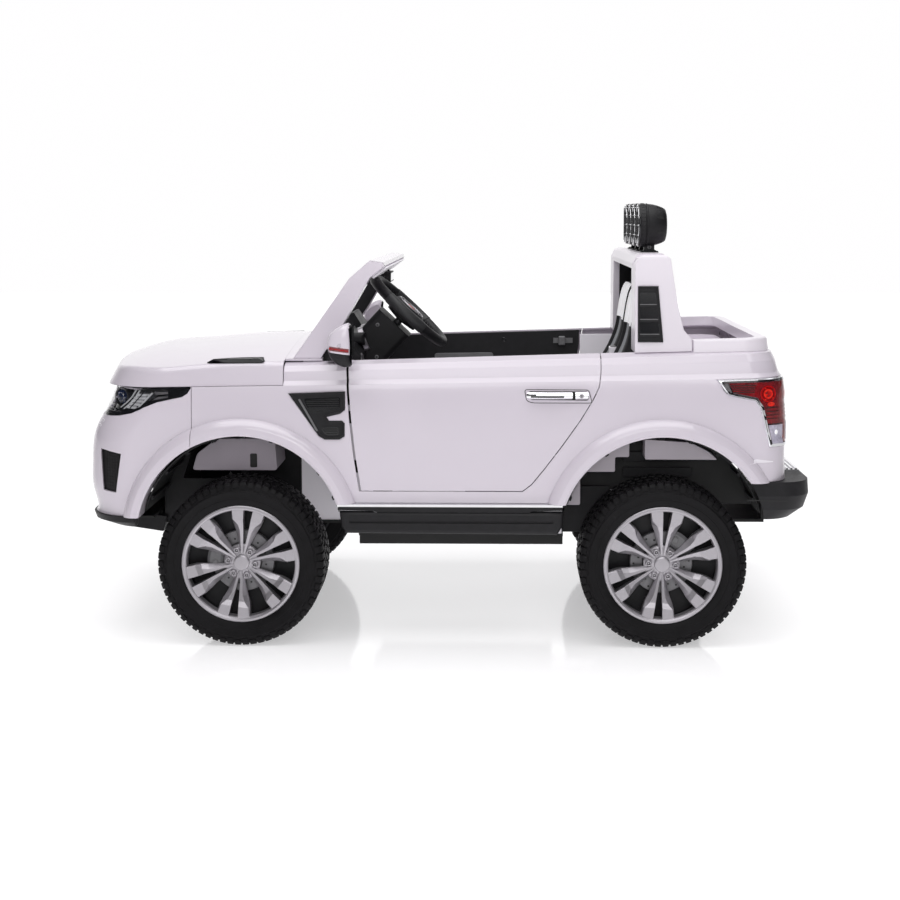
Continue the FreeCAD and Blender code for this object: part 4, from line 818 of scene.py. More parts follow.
def headlights():
    copied_faces("lamp_lenses", lambda c: c.x > 200, SMOKED).make("headlight_glass", "chassis", "clear_lens",
                                                                  ["lamp_lenses"], 40)
    side = Surface("side", "lamp_lenses", "front_bumper")
    kit = Kit()
    for line in ([(605, 503), (613, 490), (624, 479), (637, 469)],
                 [(597, 503), (606, 488), (617, 477), (629, 467)]):
        kit.add(*band(side, line, 2.2, -2.8, 10, False), REFLECTOR_PAINTED_GLOW)
    front = (Vector((601, 497)), Vector((625, 468)))
    rear = (Vector((574, 498)), Vector((604, 467)))
    for k in range(5):
        t = 0.1 + 0.2 * k
        line = [tuple(front[0].lerp(front[1], t)), tuple(rear[0].lerp(rear[1], t))]
        kit.add(*band(side, line, 4.2, -3.0, 9, False, 5), REFLECTOR_PAINTED_GLOW)
    kit.add(*band(side, [(588, 499), (615, 469)], 2.0, -2.4, 9, False), BLACK_GLOSS)
    kit.add(*band(side, [(570, 499), (602, 466)], 3.0, -2.6, 10, False), REFLECTOR_PAINTED_GLOW)
    kit.add(*patch(side, [(566, 501), (503, 503), (520, 498.5), (562, 496.5)], -3.0, 10), SILVER)
    kit.add(*patch(side, [(558, 492), (523, 494.5), (545, 489.5), (575, 482), (592, 472)], -4, 8), SILVER)
    kit.add(*band(side, [(650, 506.5), (600, 505.5), (502, 505.5)], 2.2, -3.2, 9, False), CHROME)
    nose = Surface("front", "lamp_lenses", "front_bumper")
    kit.add(*band(nose, [(186, 503), (240, 503), (292, 503)], 2.2, -4.0, 9, False), CHROME)
    kit.add(*band(nose, [(186, 459), (236, 460), (288, 462)], 2.6, -4.0, 9, False), SILVER)
    for k in range(4):
        y = 192 + 9 * k
        kit.add(*band(nose, [(y, 465), (y + 8, 497)], 3.0, -5.0, 9, False), SILVER)
    for x, z, turn, radius in ((645, 487, 0.62, 15.5), (678, 483, 1.02, 14.5)):
        out = Vector((math.sin(turn), math.cos(turn), 0))
        move = aim(out, Vector((x, side.depth(x, z), z)) - out * 15)
        socket = [(radius + 4, -6), (radius + 4, 6), (radius + 3, 8), (radius + 0.4, 7), (radius, 3)]
        kit.add(*lathe(socket, 40), STEEL, move)
        bulge = [(radius, 2), (radius * 0.86, 6.4), (radius * 0.5, 9.2), (0.01, 10.2)]
        kit.add(*lathe(bulge, 36), BLUE, move)
        kit.add(*torus(radius * 0.55, 0.5, 32, 6), CHROME, move @ Matrix.Translation((0, 0, 8.6)))
        # Two small pale domes high on each projector lens are painted glints.
        for spot in (-0.5, 0.4):
            where = (radius * spot, radius * 0.45, 7.6)
            kit.add(*lathe([(1.6, 0), (1.2, 1.4), (0.01, 1.9)], 12), CLEAR, move @ Matrix.Translation(where))
    for k in range(5):
        t = k / 4
        x, z = 640 + 22 * t, 503 - 34 * t
        move = aim((0.3, 0.95, 0), (x, side.depth(x, z) - 3.4, z))
        kit.add(*lathe([(1.7, -4), (1.7, 0.6), (0.01, 1.4)], 12), CLEAR_CORE, move)
    both(kit, "headlight_inside", "chassis", "chrome", (), 30)
    rim = Kit()
    lower = [(668, 459.5), (646, 459), (625, 460.5), (606, 465.5), (584, 474.5), (560, 484), (533, 490),
             (516, 494.5), (503, 503.5)]
    rim.add(*band(side, lower, 4.2, 0.5, 3, False, 5), BLACK_GLOSS)
    both(rim, "headlight_rim", "chassis", "black_plastic", (), 30)
    skin = Surface("side", "front_bumper")
    dimple = Kit()
    for x, z in ((677, 441), (684, 431)):
        spot = [(x + 4, z - 2.4), (x + 2.4, z + 2.4), (x - 4, z + 2), (x - 3, z - 2.6)]
        spot = rounded_outline(spot, 1.6, 3)
        # The glowing white ring around each dimple is a painted highlight on its edge.
        dimple.add(*band(skin, spot, 1.2, 0.5, 1.4, True, 3), WHITE_TRIM_PAINTED_GLOW)
        dimple.add(*patch(skin, circle(x + 1.4, z - 0.4, 1.3, 12), 0.5, 1, 3), GREY)
    both(dimple, "bumper_sensor", "chassis", "white_shell", (), 30)


# The four spotlights: back of the cups, height of the axes, space between them and underside of the feet
SPOT_X = -451.0
SPOT_Z = 825
SPOT_PITCH = 92.0
SPOT_FOOT = 769.2


def spotlights():
    housing = Kit()
    glass = Kit()
    guard = Kit()
    cup = [(0.01, 0), (28, 0), (31.5, 0.8), (34, 3), (37, 8.6), (39, 14), (41, 20), (42.6, 27), (43.4, 34),
           (43.8, 38), (44.8, 38.8), (44.8, 41), (43.4, 41.6), (43.4, 43), (44.6, 43.6), (44.6, 53),
           (43, 55.6), (40.4, 55), (40, 47), (36, 45)]
    for k in range(4):
        y = SPOT_PITCH * (k - 1.5)
        move = aim((1, 0, 0), (SPOT_X, y, SPOT_Z))
        housing.add(*lathe(cup, 56), BLACK, move)
        housing.add(*lathe([(0.01, 0.2), (24, 0.2), (26, -0.8), (27, 0.4)], 40), BLACK_GLOSS, move)
        for n in range(8):
            slot = move @ polar(45 * n + 22.5, 38.9, 13.4) @ turned(110, "Y")
            housing.add(*slab(circle(0, 0, 7.0, 24, 0.4), -0.4, 0.5), DARK, slot)
        for n in range(32):
            housing.add(*box((43.6, -1.2, 45.4), (45.1, 1.2, 51.6)), BLACK, move @ turned(11.25 * n))
        stem = [(20, SPOT_FOOT), (23, 776), (23, 796), (44, 796), (44, 776), (47, SPOT_FOOT)]
        foot = [(15, SPOT_FOOT), (16, 772), (51, 772), (52, SPOT_FOOT)]
        for outline, half in ((stem, 8), (foot, 14)):
            housing.add(*prism(beside(SPOT_X, outline), y - half, y + half), BLACK)
        for dx in (20, 47):
            screw(housing, (SPOT_X + dx, y - 11, 772), (0, 0, 1), 2.4, STEEL)
        for side in (1, -1):
            screw(housing, (SPOT_X + 33.5, y + side * 8, 780), (0, side, 0), 4.4, GREY)
        glass.add(*lathe([(40, 46), (39.4, 49), (30, 52), (15, 53.6), (0.01, 54)], 48), SMOKED, move)
        guard.add(*lathe([(40, 47), (33, 41), (20, 34), (8, 31), (0.01, 31)], 48), STEEL, move)
        guard.add(*lathe([(7, 30), (7, 36), (4, 40), (0.01, 41)], 20), CLEAR, move)
        guard.add(*torus(42.2, 2.3, 64, 10), BLACK_GLOSS, move @ Matrix.Translation((0, 0, 56)))
        guard.add(*torus(40.6, 0.9, 64, 8), CHROME, move @ Matrix.Translation((0, 0, 58)))
        for n in (-1, 0, 1):
            h = n * 20.0
            reach = math.sqrt(43.0 ** 2 - h * h)
            for flat in (True, False):
                line = []
                for t in (-1, -0.94, -0.6, -0.2, 0.2, 0.6, 0.94, 1):
                    a, b = (h, t * reach) if flat else (t * reach, h)
                    line.append((a, b, 59.2 - 7 * max(0.0, abs(t) - 0.94) / 0.06 - (0.8 if flat else 0)))
                guard.add(*tube(line, 1.5, 8), CHROME, move)
    housing.make("spotlight_bodies", "chassis", "black_plastic", ["spotlight_housings"], 32, 0.5)
    glass.make("spotlight_glass", "chassis", "clear_lens")
    guard.make("spotlight_grids", "chassis", "chrome", ["spotlight_guards"], 40)


TAIL_BARS = (474, 467, 460, 453)


def tail_lights():
    copied_faces("tail_light_lenses", lambda c: True, RED).make("tail_glass", "chassis", "red_lens",
                                                                ["tail_light_lenses"], 40)
    side = Surface("side", "tail_light_lenses", "bright_trim", "body_side_left")
    kit = Kit()
    kit.add(*patch(side, [(-538, 521), (-551, 521), (-560, 503), (-550, 500), (-543, 508)], 0.7, 3), GREY)
    kit.add(*band(side, [(-552, 521), (-561, 503)], 2.2, 1.0, 3, False), BLACK_GLOSS)
    for k in range(4):
        z = 517 - 4.4 * k
        kit.add(*band(side, [(-557 - 2 * k, z), (-606 + k, z + 0.6)], 1.5, 0.6, 2, False), DARK)
    for z in TAIL_BARS:
        kit.add(*band(side, [(-622 - (474 - z) * 0.25, z), (-652, z)], 1.6, 0.6, 2, False), DARK)
    edge = [(-728, 396), (-633.5, 397), (-623.5, 436), (-614.5, 473), (-604.5, 487), (-568.5, 494),
            (-552.5, 498), (-538.5, 518), (-529.5, 528), (-655, 532.5), (-728, 533)]
    kit.add(*band(side, inset(edge, 4.8)[1:-1], 3.6, 0.5, 3, False, 5), BLACK_GLOSS)
    for ring, mat, lift in ((16, RED_DEEP, 0.5), (13, RED, 0.9), (9.5, RED_BRIGHT, 1.2), (6, RED_DEEP, 1.5)):
        kit.add(*patch(side, circle(-630, 501, ring, 28), lift, 2, 5), mat)
    for turn in range(9):
        a = math.radians(40 * turn + 20)
        far = 12.4 if turn % 2 else 4.0
        dot = circle(-630 + far * math.cos(a), 501 + far * math.sin(a), 1.5, 10)
        kit.add(*patch(side, dot, 1.9, 1, 3), RED_BRIGHT if turn % 3 else DARK)
    kit.add(*patch(side, circle(-636, 481, 7.5, 20, 0.55), 0.9, 2, 4), RED_BRIGHT)
    lamp = [(-630.5, 440), (-662, 440), (-662, 404), (-639.5, 404)]
    kit.add(*patch(side, lamp, 0.7, 2), CLEAR_CORE)
    kit.add(*band(side, [(-629, 442), (-661, 442)], 2.0, 1.0, 3, False), BLACK_GLOSS)
    # The small glowing white dot on the clear lamp is a painted highlight.
    kit.add(*patch(side, circle(-647, 426, 3.2, 18, 1.5), 1.3, 2, 4), SEAT_WHITE_PAINTED_GLOW)
    kit.add(*band(side, inset(edge, 1.3)[1:-1], 2.4, 0.9, 3, False, 5), REFLECTOR_PAINTED_GLOW)
    rear = Surface("rear", "tail_light_lenses", "bright_trim", "body_side_left")
    kit.add(*patch(rear, [(272, 440), (306, 440), (304, 406), (272, 406)], 0.7, 2), CLEAR_CORE)
    kit.add(*band(rear, [(271, 442), (308, 442)], 2.0, 1.0, 3, False), BLACK_GLOSS)
    for ring, mat, lift in ((14, RED_DEEP, 0.5), (11.5, RED, 0.8), (8.6, RED_BRIGHT, 1.2),
                            (5.4, RED_DEEP, 1.7)):
        kit.add(*patch(rear, circle(288, 498, ring, 28), lift, 2, 5), mat)
    for z in TAIL_BARS:
        kit.add(*band(rear, [(272, z), (308, z)], 1.6, 0.6, 2, False), DARK)
    both(kit, "tail_details", "chassis", "red_lens", (), 30)


# Vents and grilles
def bordered_vent(kit, surface, outline, panes, border, lift):
    """A plate with a raised border and barred panes."""
    kit.add(*band(surface, outline, border, lift + 1.6, 3), BLACK)
    for pane in panes:
        rim = rounded_outline(pane, 4, 3)
        # Each pane is a dark patch: painted shade in the vent's recess.
        kit.add(*patch(surface, rim, lift + 0.25, 1.2), DARK)
        bars(kit, surface, inset(pane, 1.5), 4.4, 1.7, lift + 0.9, 1.5, BLACK_GLOSS)
        kit.add(*band(surface, rim, 1.8, lift + 1.2, 2), BLACK_GLOSS)


def vents():
    kit = Kit()
    side = Surface("side", "grilles_and_vents")
    wing = [(299, 496), (302, 500), (192, 503.5), (192, 468.5), (201, 461.5), (228, 454.5), (222, 446.6),
            (197.5, 446.6), (193, 441.5), (193, 416.5), (203, 410.6), (232, 410.6), (243, 417.5)]
    panes = [[(272, 490), (201, 493), (201, 471), (251, 461), (261, 464)],
             [(239, 434), (204, 435), (204, 419), (228, 419), (234, 425)]]
    bordered_vent(kit, side, wing, panes, 4.5, 0.0)
    kit.add(*band(side, [(281, 489), (262, 456), (246, 427)], 3.6, 1.8, 3, False), GREY)
    hoop = rounded_outline([(-380.4, 599), (-380.4, 707), (-418.6, 707), (-428.6, 599)], 5, 4)
    kit.add(*band(side, hoop, 2.6, 1.4, 3), BLACK)
    for low in (614, 643, 672):
        slant = (low - 599) * 0.092
        pane = [(-383.4, low), (-383.4, low + 23), (-422.6 + slant + 2.1, low + 23), (-422.6 + slant, low)]
        kit.add(*patch(side, pane, 0.3, 1.2), BLACK_GLOSS)
        kit.add(*band(side, [(-383.2, low - 3.4), (-423 + slant, low - 3.4)], 4.4, 2.0, 3, False), BLACK)
        kit.add(*band(side, [pane[0], pane[3]], 1.6, 1.6, 2, False), GREY)
    kit.add(*band(side, [(-383.2, 699.6), (-414, 699.6)], 5.0, 1.6, 3, False), BLACK)
    top = rounded_outline([(466, 557.6), (452, 565), (362, 567), (350, 560.4), (357, 558)], 3, 3)
    kit.add(*patch(side, top, 0.9, 2), BLACK_GLOSS)
    kit.add(*band(side, top, 1.8, 1.6, 2), BLACK)
    kit.add(*band(side, [(452, 560.6), (380, 562.4), (360, 561.4)], 2.2, 1.8, 2, False), BLACK_GLOSS)
    fog = [(671, 384), (636, 378), (647, 308), (669, 310)]
    kit.add(*patch(side, fog, 0.6, 2), DARK)
    bars(kit, side, fog, 6, 1.4, 1.6, 2, BLACK)
    bars(kit, side, fog, 6, 1.4, 1.4, 2, BLACK, True)
    both(kit, "side_vents", "chassis", "black_plastic", (), 30)
    nose = Surface("front", "grilles_and_vents")
    grid = Kit()
    upper = [(-160, 454), (-168, 508), (168, 508), (160, 454)]
    lower = [(-203, 320), (-222, 384), (222, 384), (203, 320)]
    for outline, pitch in ((upper, 13), (lower, 15)):
        bars(grid, nose, outline, pitch, 2.4, 2.6, 4, BLACK_GLOSS, True)
        bars(grid, nose, outline, pitch, 3.0, 3.4, 5, BLACK_GLOSS)
    grid.make("nose_grids", "chassis", "black_plastic")
    for z in (466, 482, 497):
        bar = Kit().add(*band(nose, [(-158, z), (0, z), (158, z)], 4.4, 5.0, 6, False), SILVER)
        bar.make("nose_bar_%d" % z, "chassis", "silver_plastic", (), 30, 0.8)


# Doors and mirrors
def doors():
    skin = Surface("side", "door_left")
    handle = Kit()
    plate = rounded_outline([(-290, 482), (-283, 508.5), (-157, 509), (-161, 486), (-174, 482)], 6)
    handle.add(*patch(skin, plate, 0.5, 2), DARK)
    handle.add(*patch(skin, inset(plate, 1.4), 1.0, 2), WHITE)
    # The hollow behind the handle is a dark patch laid on the skin: painted shade.
    shaded_hollow = rounded_outline([(-283, 487.5), (-281, 505.5), (-164, 505.5), (-168, 489)], 6)
    handle.add(*patch(skin, shaded_hollow, 1.5, 2), DARK)
    arch = ((-165, -4), (-170, -1), (-184, 1.2), (-208, 2), (-234, 1.2), (-250, -0.6))
    bar = [(x, skin.depth(x, 497) + 5.5 + lift, 497.5) for x, lift in arch]
    handle.add(*tube(bar, 7.0, 18), CHROME)
    # The thin black line along the chrome bar is a painted dark reflection.
    handle.add(*tube([(x, y + 5.9, z - 1.6) for x, y, z in bar[1:-1]], 1.9, 10), BLACK_GLOSS)
    knob = [(x, skin.depth(x, 497) + 4.5, 497.5) for x in (-256, -260, -276, -281)]
    handle.add(*tube(knob, 7.6, 18), CHROME)
    lock = skin.depth(-268, 497)
    face = aim((0, 1, 0), (-268, lock + 11.6, 497.5))
    handle.add(*lathe([(4.4, -2), (4.4, 0.6), (3.4, 1.2), (0.01, 1.2)], 24), SILVER, face)
    handle.add(*box((-268.5, lock + 12.6, 495), (-267.5, lock + 13.2, 500)), DARK)
    trim = Kit()
    for x, z in ((128, 545), (-120, 549)):
        cap = [(5.2, 0.2), (5.2, 1.2), (3.8, 1.2), (3.4, -1), (0.01, -1)]
        trim.add(*lathe(cap, 20), BLACK_GLOSS, aim((0, -1, 0), (x, 300, z)))
    # Armrest, pull and speaker plate: outline, corner radius, inner and outer faces, material
    panels = (([(60, 462), (60, 478), (-150, 482), (-170, 466)], 7, 276, 301, BLACK),
              ([(40, 486), (48, 516), (-96, 518), (-90, 488)], 10, 296.5, 300.5, GREY),
              ([(110, 360), (120, 430), (20, 430), (30, 360)], 16, 297.5, 300.5, BLACK_GLOSS))
    for outline, radius, low, high, mat in panels:
        trim.add(*prism(rounded_outline(outline, radius), low, high), mat)
    for k in range(7):
        for n in range(6):
            hole = aim((0, -1, 0), (34 + 12 * k, 297.4, 368 + 11 * n))
            trim.add(*lathe([(2.4, 0.1), (0.01, 0.1)], 10), DARK, hole)
    pieces = ((handle, "handle", "chrome", "door_handle_"), (trim, "trim_details", "black_plastic", ""))
    for kit, name, slot, node in pieces:
        for hand, piece in (("left", kit), ("right", kit.mirrored())):
            replaces = [node + hand] if node else ()
            piece.make("door_" + name + "_" + hand, hand + "_door", slot, replaces, 30, 1.2)


MIRROR_SIDE = [(174, 557), (173, 600), (175, 634), (181, 640), (192, 637), (206, 629), (217, 619),
               (221, 606), (220, 588), (215, 573), (203, 561), (188, 555)]


def mirrors():
    kit = Kit()
    outline = resampled(rounded_outline(MIRROR_SIDE, 5, 3), 3.5, True)
    n = len(outline)
    rows = ((351, 0.70), (353, 0.84), (357, 0.94), (366, 1.0), (388, 1.0), (398, 0.96), (404, 0.87),
            (407.6, 0.7), (409.2, 0.45), (410, 0.1))
    verts = []
    for y, scale in rows:
        verts += [(196 + (x - 196) * scale, y, 598 + (z - 598) * scale) for x, z in outline]
    faces = ring_faces(len(rows), n) + [list(range(n)), list(range(len(verts) - 1, len(verts) - n - 1, -1))]
    for face in faces:
        middle = sum((Vector(verts[i]) for i in face), Vector()) / len(face)
        low = middle.z < 579 + (middle.x - 174) * 0.25
        mat = BLACK if low or middle.x < 177.5 else WHITE
        kit.add([verts[i] for i in face], [list(range(len(face)))], mat)
    weld(kit)
    skin = KitSurface(kit)
    kit.add(*patch(skin, [(178, 585), (177.6, 592), (214, 597.6), (216.4, 590)], 1.0, 3, 4), RED)
    kit.add(*band(skin, [(178.4, 588.4), (215, 593.8)], 1.4, 1.4, 2, False, 4), RED_DEEP)
    kit.add(*band(skin, [(177.4, 582.6), (196, 585.2), (217, 588)], 3.4, 1.0, 3, False, 4), WHITE)
    kit.add(*band(skin, [(177, 577.6), (196, 580), (216, 583)], 6.4, 0.8, 3, False, 4), BLACK)
    glass = [(358, 566), (357, 628), (366, 634), (396, 634), (404, 624), (402, 570), (392, 563)]
    glass = rounded_outline(glass, 5)
    for x, outline, mat in ((172.4, glass, CHROME), (172.8, inset(glass, -2.5), BLACK_GLOSS)):
        kit.add([(x, y, z) for y, z in outline], [list(range(len(outline)))], mat)
    foot = rounded_outline([(231, 563), (195, 563), (195, 574), (202, 593), (209, 590), (224, 572)], 3)
    kit.add(*prism(foot, 313.5, 324.5), BLACK)
    arm = [(206, 320, 577), (206, 336, 578), (205, 350, 582), (204, 364, 588)]
    kit.add(*tube(arm, 7.5, 14), BLACK)
    both(kit, "mirror", "chassis", "white_shell", ["mirrors"], 55)


def weld(kit):
    """Join points that lie on one another."""
    seen = {}
    order = []
    verts = []
    for p in kit.verts:
        key = tuple(round(c, 2) for c in p)
        if key not in seen:
            seen[key] = len(verts)
            verts.append(p)
        order.append(seen[key])
    kit.verts = verts
    kit.faces = [[order[i] for i in f] for f in kit.faces]


# Seats
def ridge(value, edge, soft):
    """0 below edge, 1 above, with a soft step."""
    t = min(1.0, max(0.0, (value - edge) / soft))
    return t * t * (3 - 2 * t)


def pad_kit(width, length, thick, ribs, bolster, paint, move, flare=0.0):
    """A padded block along X with ribs, side rolls and a skirt.

    paint(u, v) gives the material, and flare lifts the low end.
    """
    nu, nv = 64, 56
    kit = Kit()
    verts = []
    for j in range(nv + 1):
        v = j / nv
        ends = (1 - abs(2 * v - 1) ** 7) ** 0.25 if 0 < v < 1 else 0.0
        half = width / 2 * (0.9 + 0.1 * ends)
        for i in range(nu + 1):
            u = 2 * i / nu - 1
            side = (1 - abs(u) ** 9) ** 0.3 if abs(u) < 1 else 0.0
            height = thick * (0.34 + 0.66 * side * ends)
            height += 7.0 * ridge(abs(u), bolster, 0.12) * side * ends
            if abs(u) < bolster:
                height -= 3.4 * abs(math.cos(math.pi * ribs * (u / bolster + 1) / 2)) ** 10 * ends
            height -= 3.2 * math.exp(-((abs(u) - bolster) / 0.022) ** 2) * ends
            height += min(45.0, flare * max(0.0, (0.65 - v) / 0.34) ** 1.7)
            verts.append((v * length, u * half, height))
    for j in range(nv):
        for i in range(nu):
            a = j * (nu + 1) + i
            u = (2 * i + 1) / nu - 1
            corners = [verts[k] for k in (a, a + nu + 1, a + nu + 2, a + 1)]
            kit.add(corners, [[0, 1, 2, 3]], paint(u, (j + 0.5) / nv), move)
    edge = [j * (nu + 1) for j in range(nv + 1)] + [nv * (nu + 1) + i for i in range(1, nu + 1)]
    edge += [j * (nu + 1) + nu for j in range(nv - 1, -1, -1)] + list(range(nu - 1, 0, -1))
    middle = Vector((length / 2, 0, 0))
    for a, b in around(edge):
        p, q = Vector(verts[a]), Vector(verts[b])
        low_p = middle + (Vector((p.x, p.y, 0)) - middle) * 0.97
        low_q = middle + (Vector((q.x, q.y, 0)) - middle) * 0.97
        kit.add([p, q, low_q, low_p], [[3, 2, 1, 0]], SEAT_BLACK, move)
    weld(kit)
    return kit


def stitches(kit, points, move, every=5.0):
    """A row of short threads along points."""
    for a, b in zip(points, points[1:]):
        a, b = Vector(a), Vector(b)
        count = max(1, int((b - a).length / every))
        for k in range(count):
            p = a.lerp(b, (k + 0.2) / count)
            q = a.lerp(b, (k + 0.8) / count)
            kit.add(*tube([p, q], 0.55, 5), THREAD, move)


# Distance from the middle of the car, lean of the cushion, tilt of the back, share of the ribbed middle
SEAT_Y = 94
SEAT_LEAN = math.radians(3.3)
BACK_TILT = math.radians(8)
RIBBED = 0.62
RIBS = 6


def slope(angle):
    """The ways along and off a plane that rises toward the front by an angle."""
    return Vector((math.cos(angle), 0, math.sin(angle))), Vector((-math.sin(angle), 0, math.cos(angle)))


def seats():
    ahead, rise = slope(BACK_TILT)
    along, up = slope(SEAT_LEAN)
    for hand, y in (("left", SEAT_Y), ("right", -SEAT_Y)):
        move = basis(along, (0, 1, 0), up, (REAR_X + 78, y, 360.9))
        seat = pad_kit(174, 297, 38, RIBS, RIBBED, seat_paint, move)
        for s in (1, -1):
            stitches(seat, [(30, s * 58, 40), (268, s * 58, 40)], move)
        replaces = ["seat_pads"] if y > 0 else ()
        seat.make("seat_" + hand, "chassis", "seat_leather", replaces, 60)
        move = basis(rise, (0, -1, 0), ahead, Vector((REAR_X + 45, y, 372)) + rise * 50)
        back = pad_kit(164, 276, 35, RIBS, RIBBED, back_paint, move, 27)
        back.make("back_" + hand, "chassis", "seat_leather", (), 60)
    belt = Kit()
    for y in (-9, 9):
        belt.add(*tube([(-345, y, 376), (-351, y, 440), (-356, y, 520)], 3.0, 10), DARK)
        belt.add(*box((-364, y - 8, 520), (-348, y + 8, 560)), WHITE_TRIM_PAINTED_GLOW)
        belt.add(*box((-362, y - 6, 559), (-350, y + 6, 562)), GREY)
    belt.make("belt_buckles", "chassis", "grey_plastic", (), 30, 1.5)


def seat_paint(u, v):
    return SEAT_GREY_PAINTED_GLOW if abs(u) < RIBBED else SEAT_BLACK


def back_paint(u, v):
    """As the seat, with a white panel at the top."""
    if v > 0.7:
        return SEAT_WHITE_PAINTED_GLOW if abs(u) < 0.88 and v < 0.985 else SEAT_BLACK
    return seat_paint(u, v)


# Cabin details
def cabin():
    kit = Kit()
    for y in (92, 164):
        move = aim((-1, 0, 0.35), (168, y, 592))
        kit.add(*lathe([(26, -8), (26, 2), (24.5, 3), (23.6, 1.6)], 40), SILVER, move)
        kit.add(*lathe([(23.8, 0.6), (0.01, 0.6)], 40), BLACK_GLOSS, move)
        for k in range(9):
            kit.add(*box((17, -0.6, 0.7), (21.5, 0.6, 1.2)), WHITE_TRIM_PAINTED_GLOW, move @ turned(30 * k - 30))
        kit.add(*box((-2, -0.8, 1.2), (16, 0.8, 1.8)), RED_BRIGHT, move @ turned(40))
    for y in (-250, 250):
        move = aim((-1, 0, 0.1), (168.5, y, 545))
        kit.add(*lathe([(25, -4), (25, 3), (22, 4.5), (20.5, 2)], 40), SILVER, move)
        kit.add(*lathe([(20.8, 0.8), (0.01, 0.8)], 32), DARK, move)
        for k in range(-3, 4):
            reach = math.sqrt(20 ** 2 - (5.4 * k) ** 2)
            kit.add(*box((5.4 * k - 0.9, -reach, 0.8), (5.4 * k + 0.9, reach, 3)), BLACK_GLOSS, move)
    for k in range(5):
        kit.add(*box((166, -84 + 19 * k, 528), (170.4, -70 + 19 * k, 540)), GREY)
    for z in (572, 514):
        kit.add(*box((163.4, -288, z - 1.6), (170, 62, z + 1.6)), SILVER)
    along = Vector((32, 0, 52)).normalized()
    move = basis(along, (0, -1, 0), along.cross(Vector((0, -1, 0))), (174.5, -36.5, 584))
    kit.add(*slab(rounded_outline(oblong(4, 57, -53, 53), 5), 0.2, 1.4), BLACK_GLOSS, move)
    kit.add(*slab(rounded_outline(oblong(9, 53, -48, 48), 3), 1.0, 1.9), SCREEN, move)
    kit.make("dash_details", "chassis", "black_plastic", (), 30, 0.8)
    knob = Kit()
    tip = Vector((152.5, 0, 410)) + slope(math.radians(52))[1] * 66
    lever = Vector((-0.79, 0, 0.62))
    knob.add(*torus(15.2, 1.2, 48, 8), CHROME, aim(lever, tip - lever * 3))
    knob.make("gear_ring", "gear_selector", "chrome")
    pedal = Kit()
    move = Matrix.Translation((248.5, 88, 226)) @ turned(-28, "Y")
    for k in range(7):
        pedal.add(*box((-7, -30, 18 + 12 * k), (-4.5, 30, 23 + 12 * k)), GREY, move)
    pedal.make("pedal_ribs", "pedal", "black_plastic", (), 30, 0.8)
    mirror = Kit()
    shape = rounded_outline([(-46, 702), (-42, 724), (42, 724), (46, 702)], 7)
    mirror.add(*slab(shape, 0, 14), BLACK, basis((0, 1, 0), (0, 0, 1), (1, 0, 0), (124, 0, 0)))
    mirror.add([(123.8, y, z) for y, z in inset(shape, 3)], [list(range(len(shape)))], CHROME)
    mirror.add(*tube([(134, 0, 722), (142, 0, 734), (146, 0, 742)], 6, 14), BLACK)
    mirror.make("cabin_mirror", "chassis", "black_plastic", (), 30, 1.0)
    trim = Kit()
    side = [(292, 566), (248, 566), (199, 638), (148, 727), (122, 746), (128, 752), (186, 720)]
    trim.add(*prism(side, 280.2, 283.0), BLACK)
    foot = Matrix.Translation((0, 313, 563))
    lean_in = foot @ turned(3.2, "X") @ foot.inverted()
    trim.verts = [lean_in @ p for p in trim.verts]
    both(trim, "pillar_trim", "chassis", "black_plastic", (), 30, 0.6)
    inner = [(-300.5, 470), (-300.5, 562.5), (-384, 563.5), (-384, 470)]
    quarter = Kit().add(*prism(inner, 292, 296), WHITE_TRIM_PAINTED_GLOW)
    both(quarter, "quarter_trim", "chassis", "white_shell", (), 30, 0.8)
    head = Kit().add(*prism([(144.5, 722.6), (117.5, 743.5), (115, 741), (142, 720)], -270, 270), WHITE_TRIM_PAINTED_GLOW)
    head.make("header_trim", "chassis", "black_plastic", (), 30, 0.6)


# Wheel arches, bed and tail; the arches are round about points above the axles
ARCH_Z = 216
ARCH_R = 196
ARCH_OUT = 333
ARCH_TURNS = [math.radians(14 + 152 * k / 32) for k in range(33)]


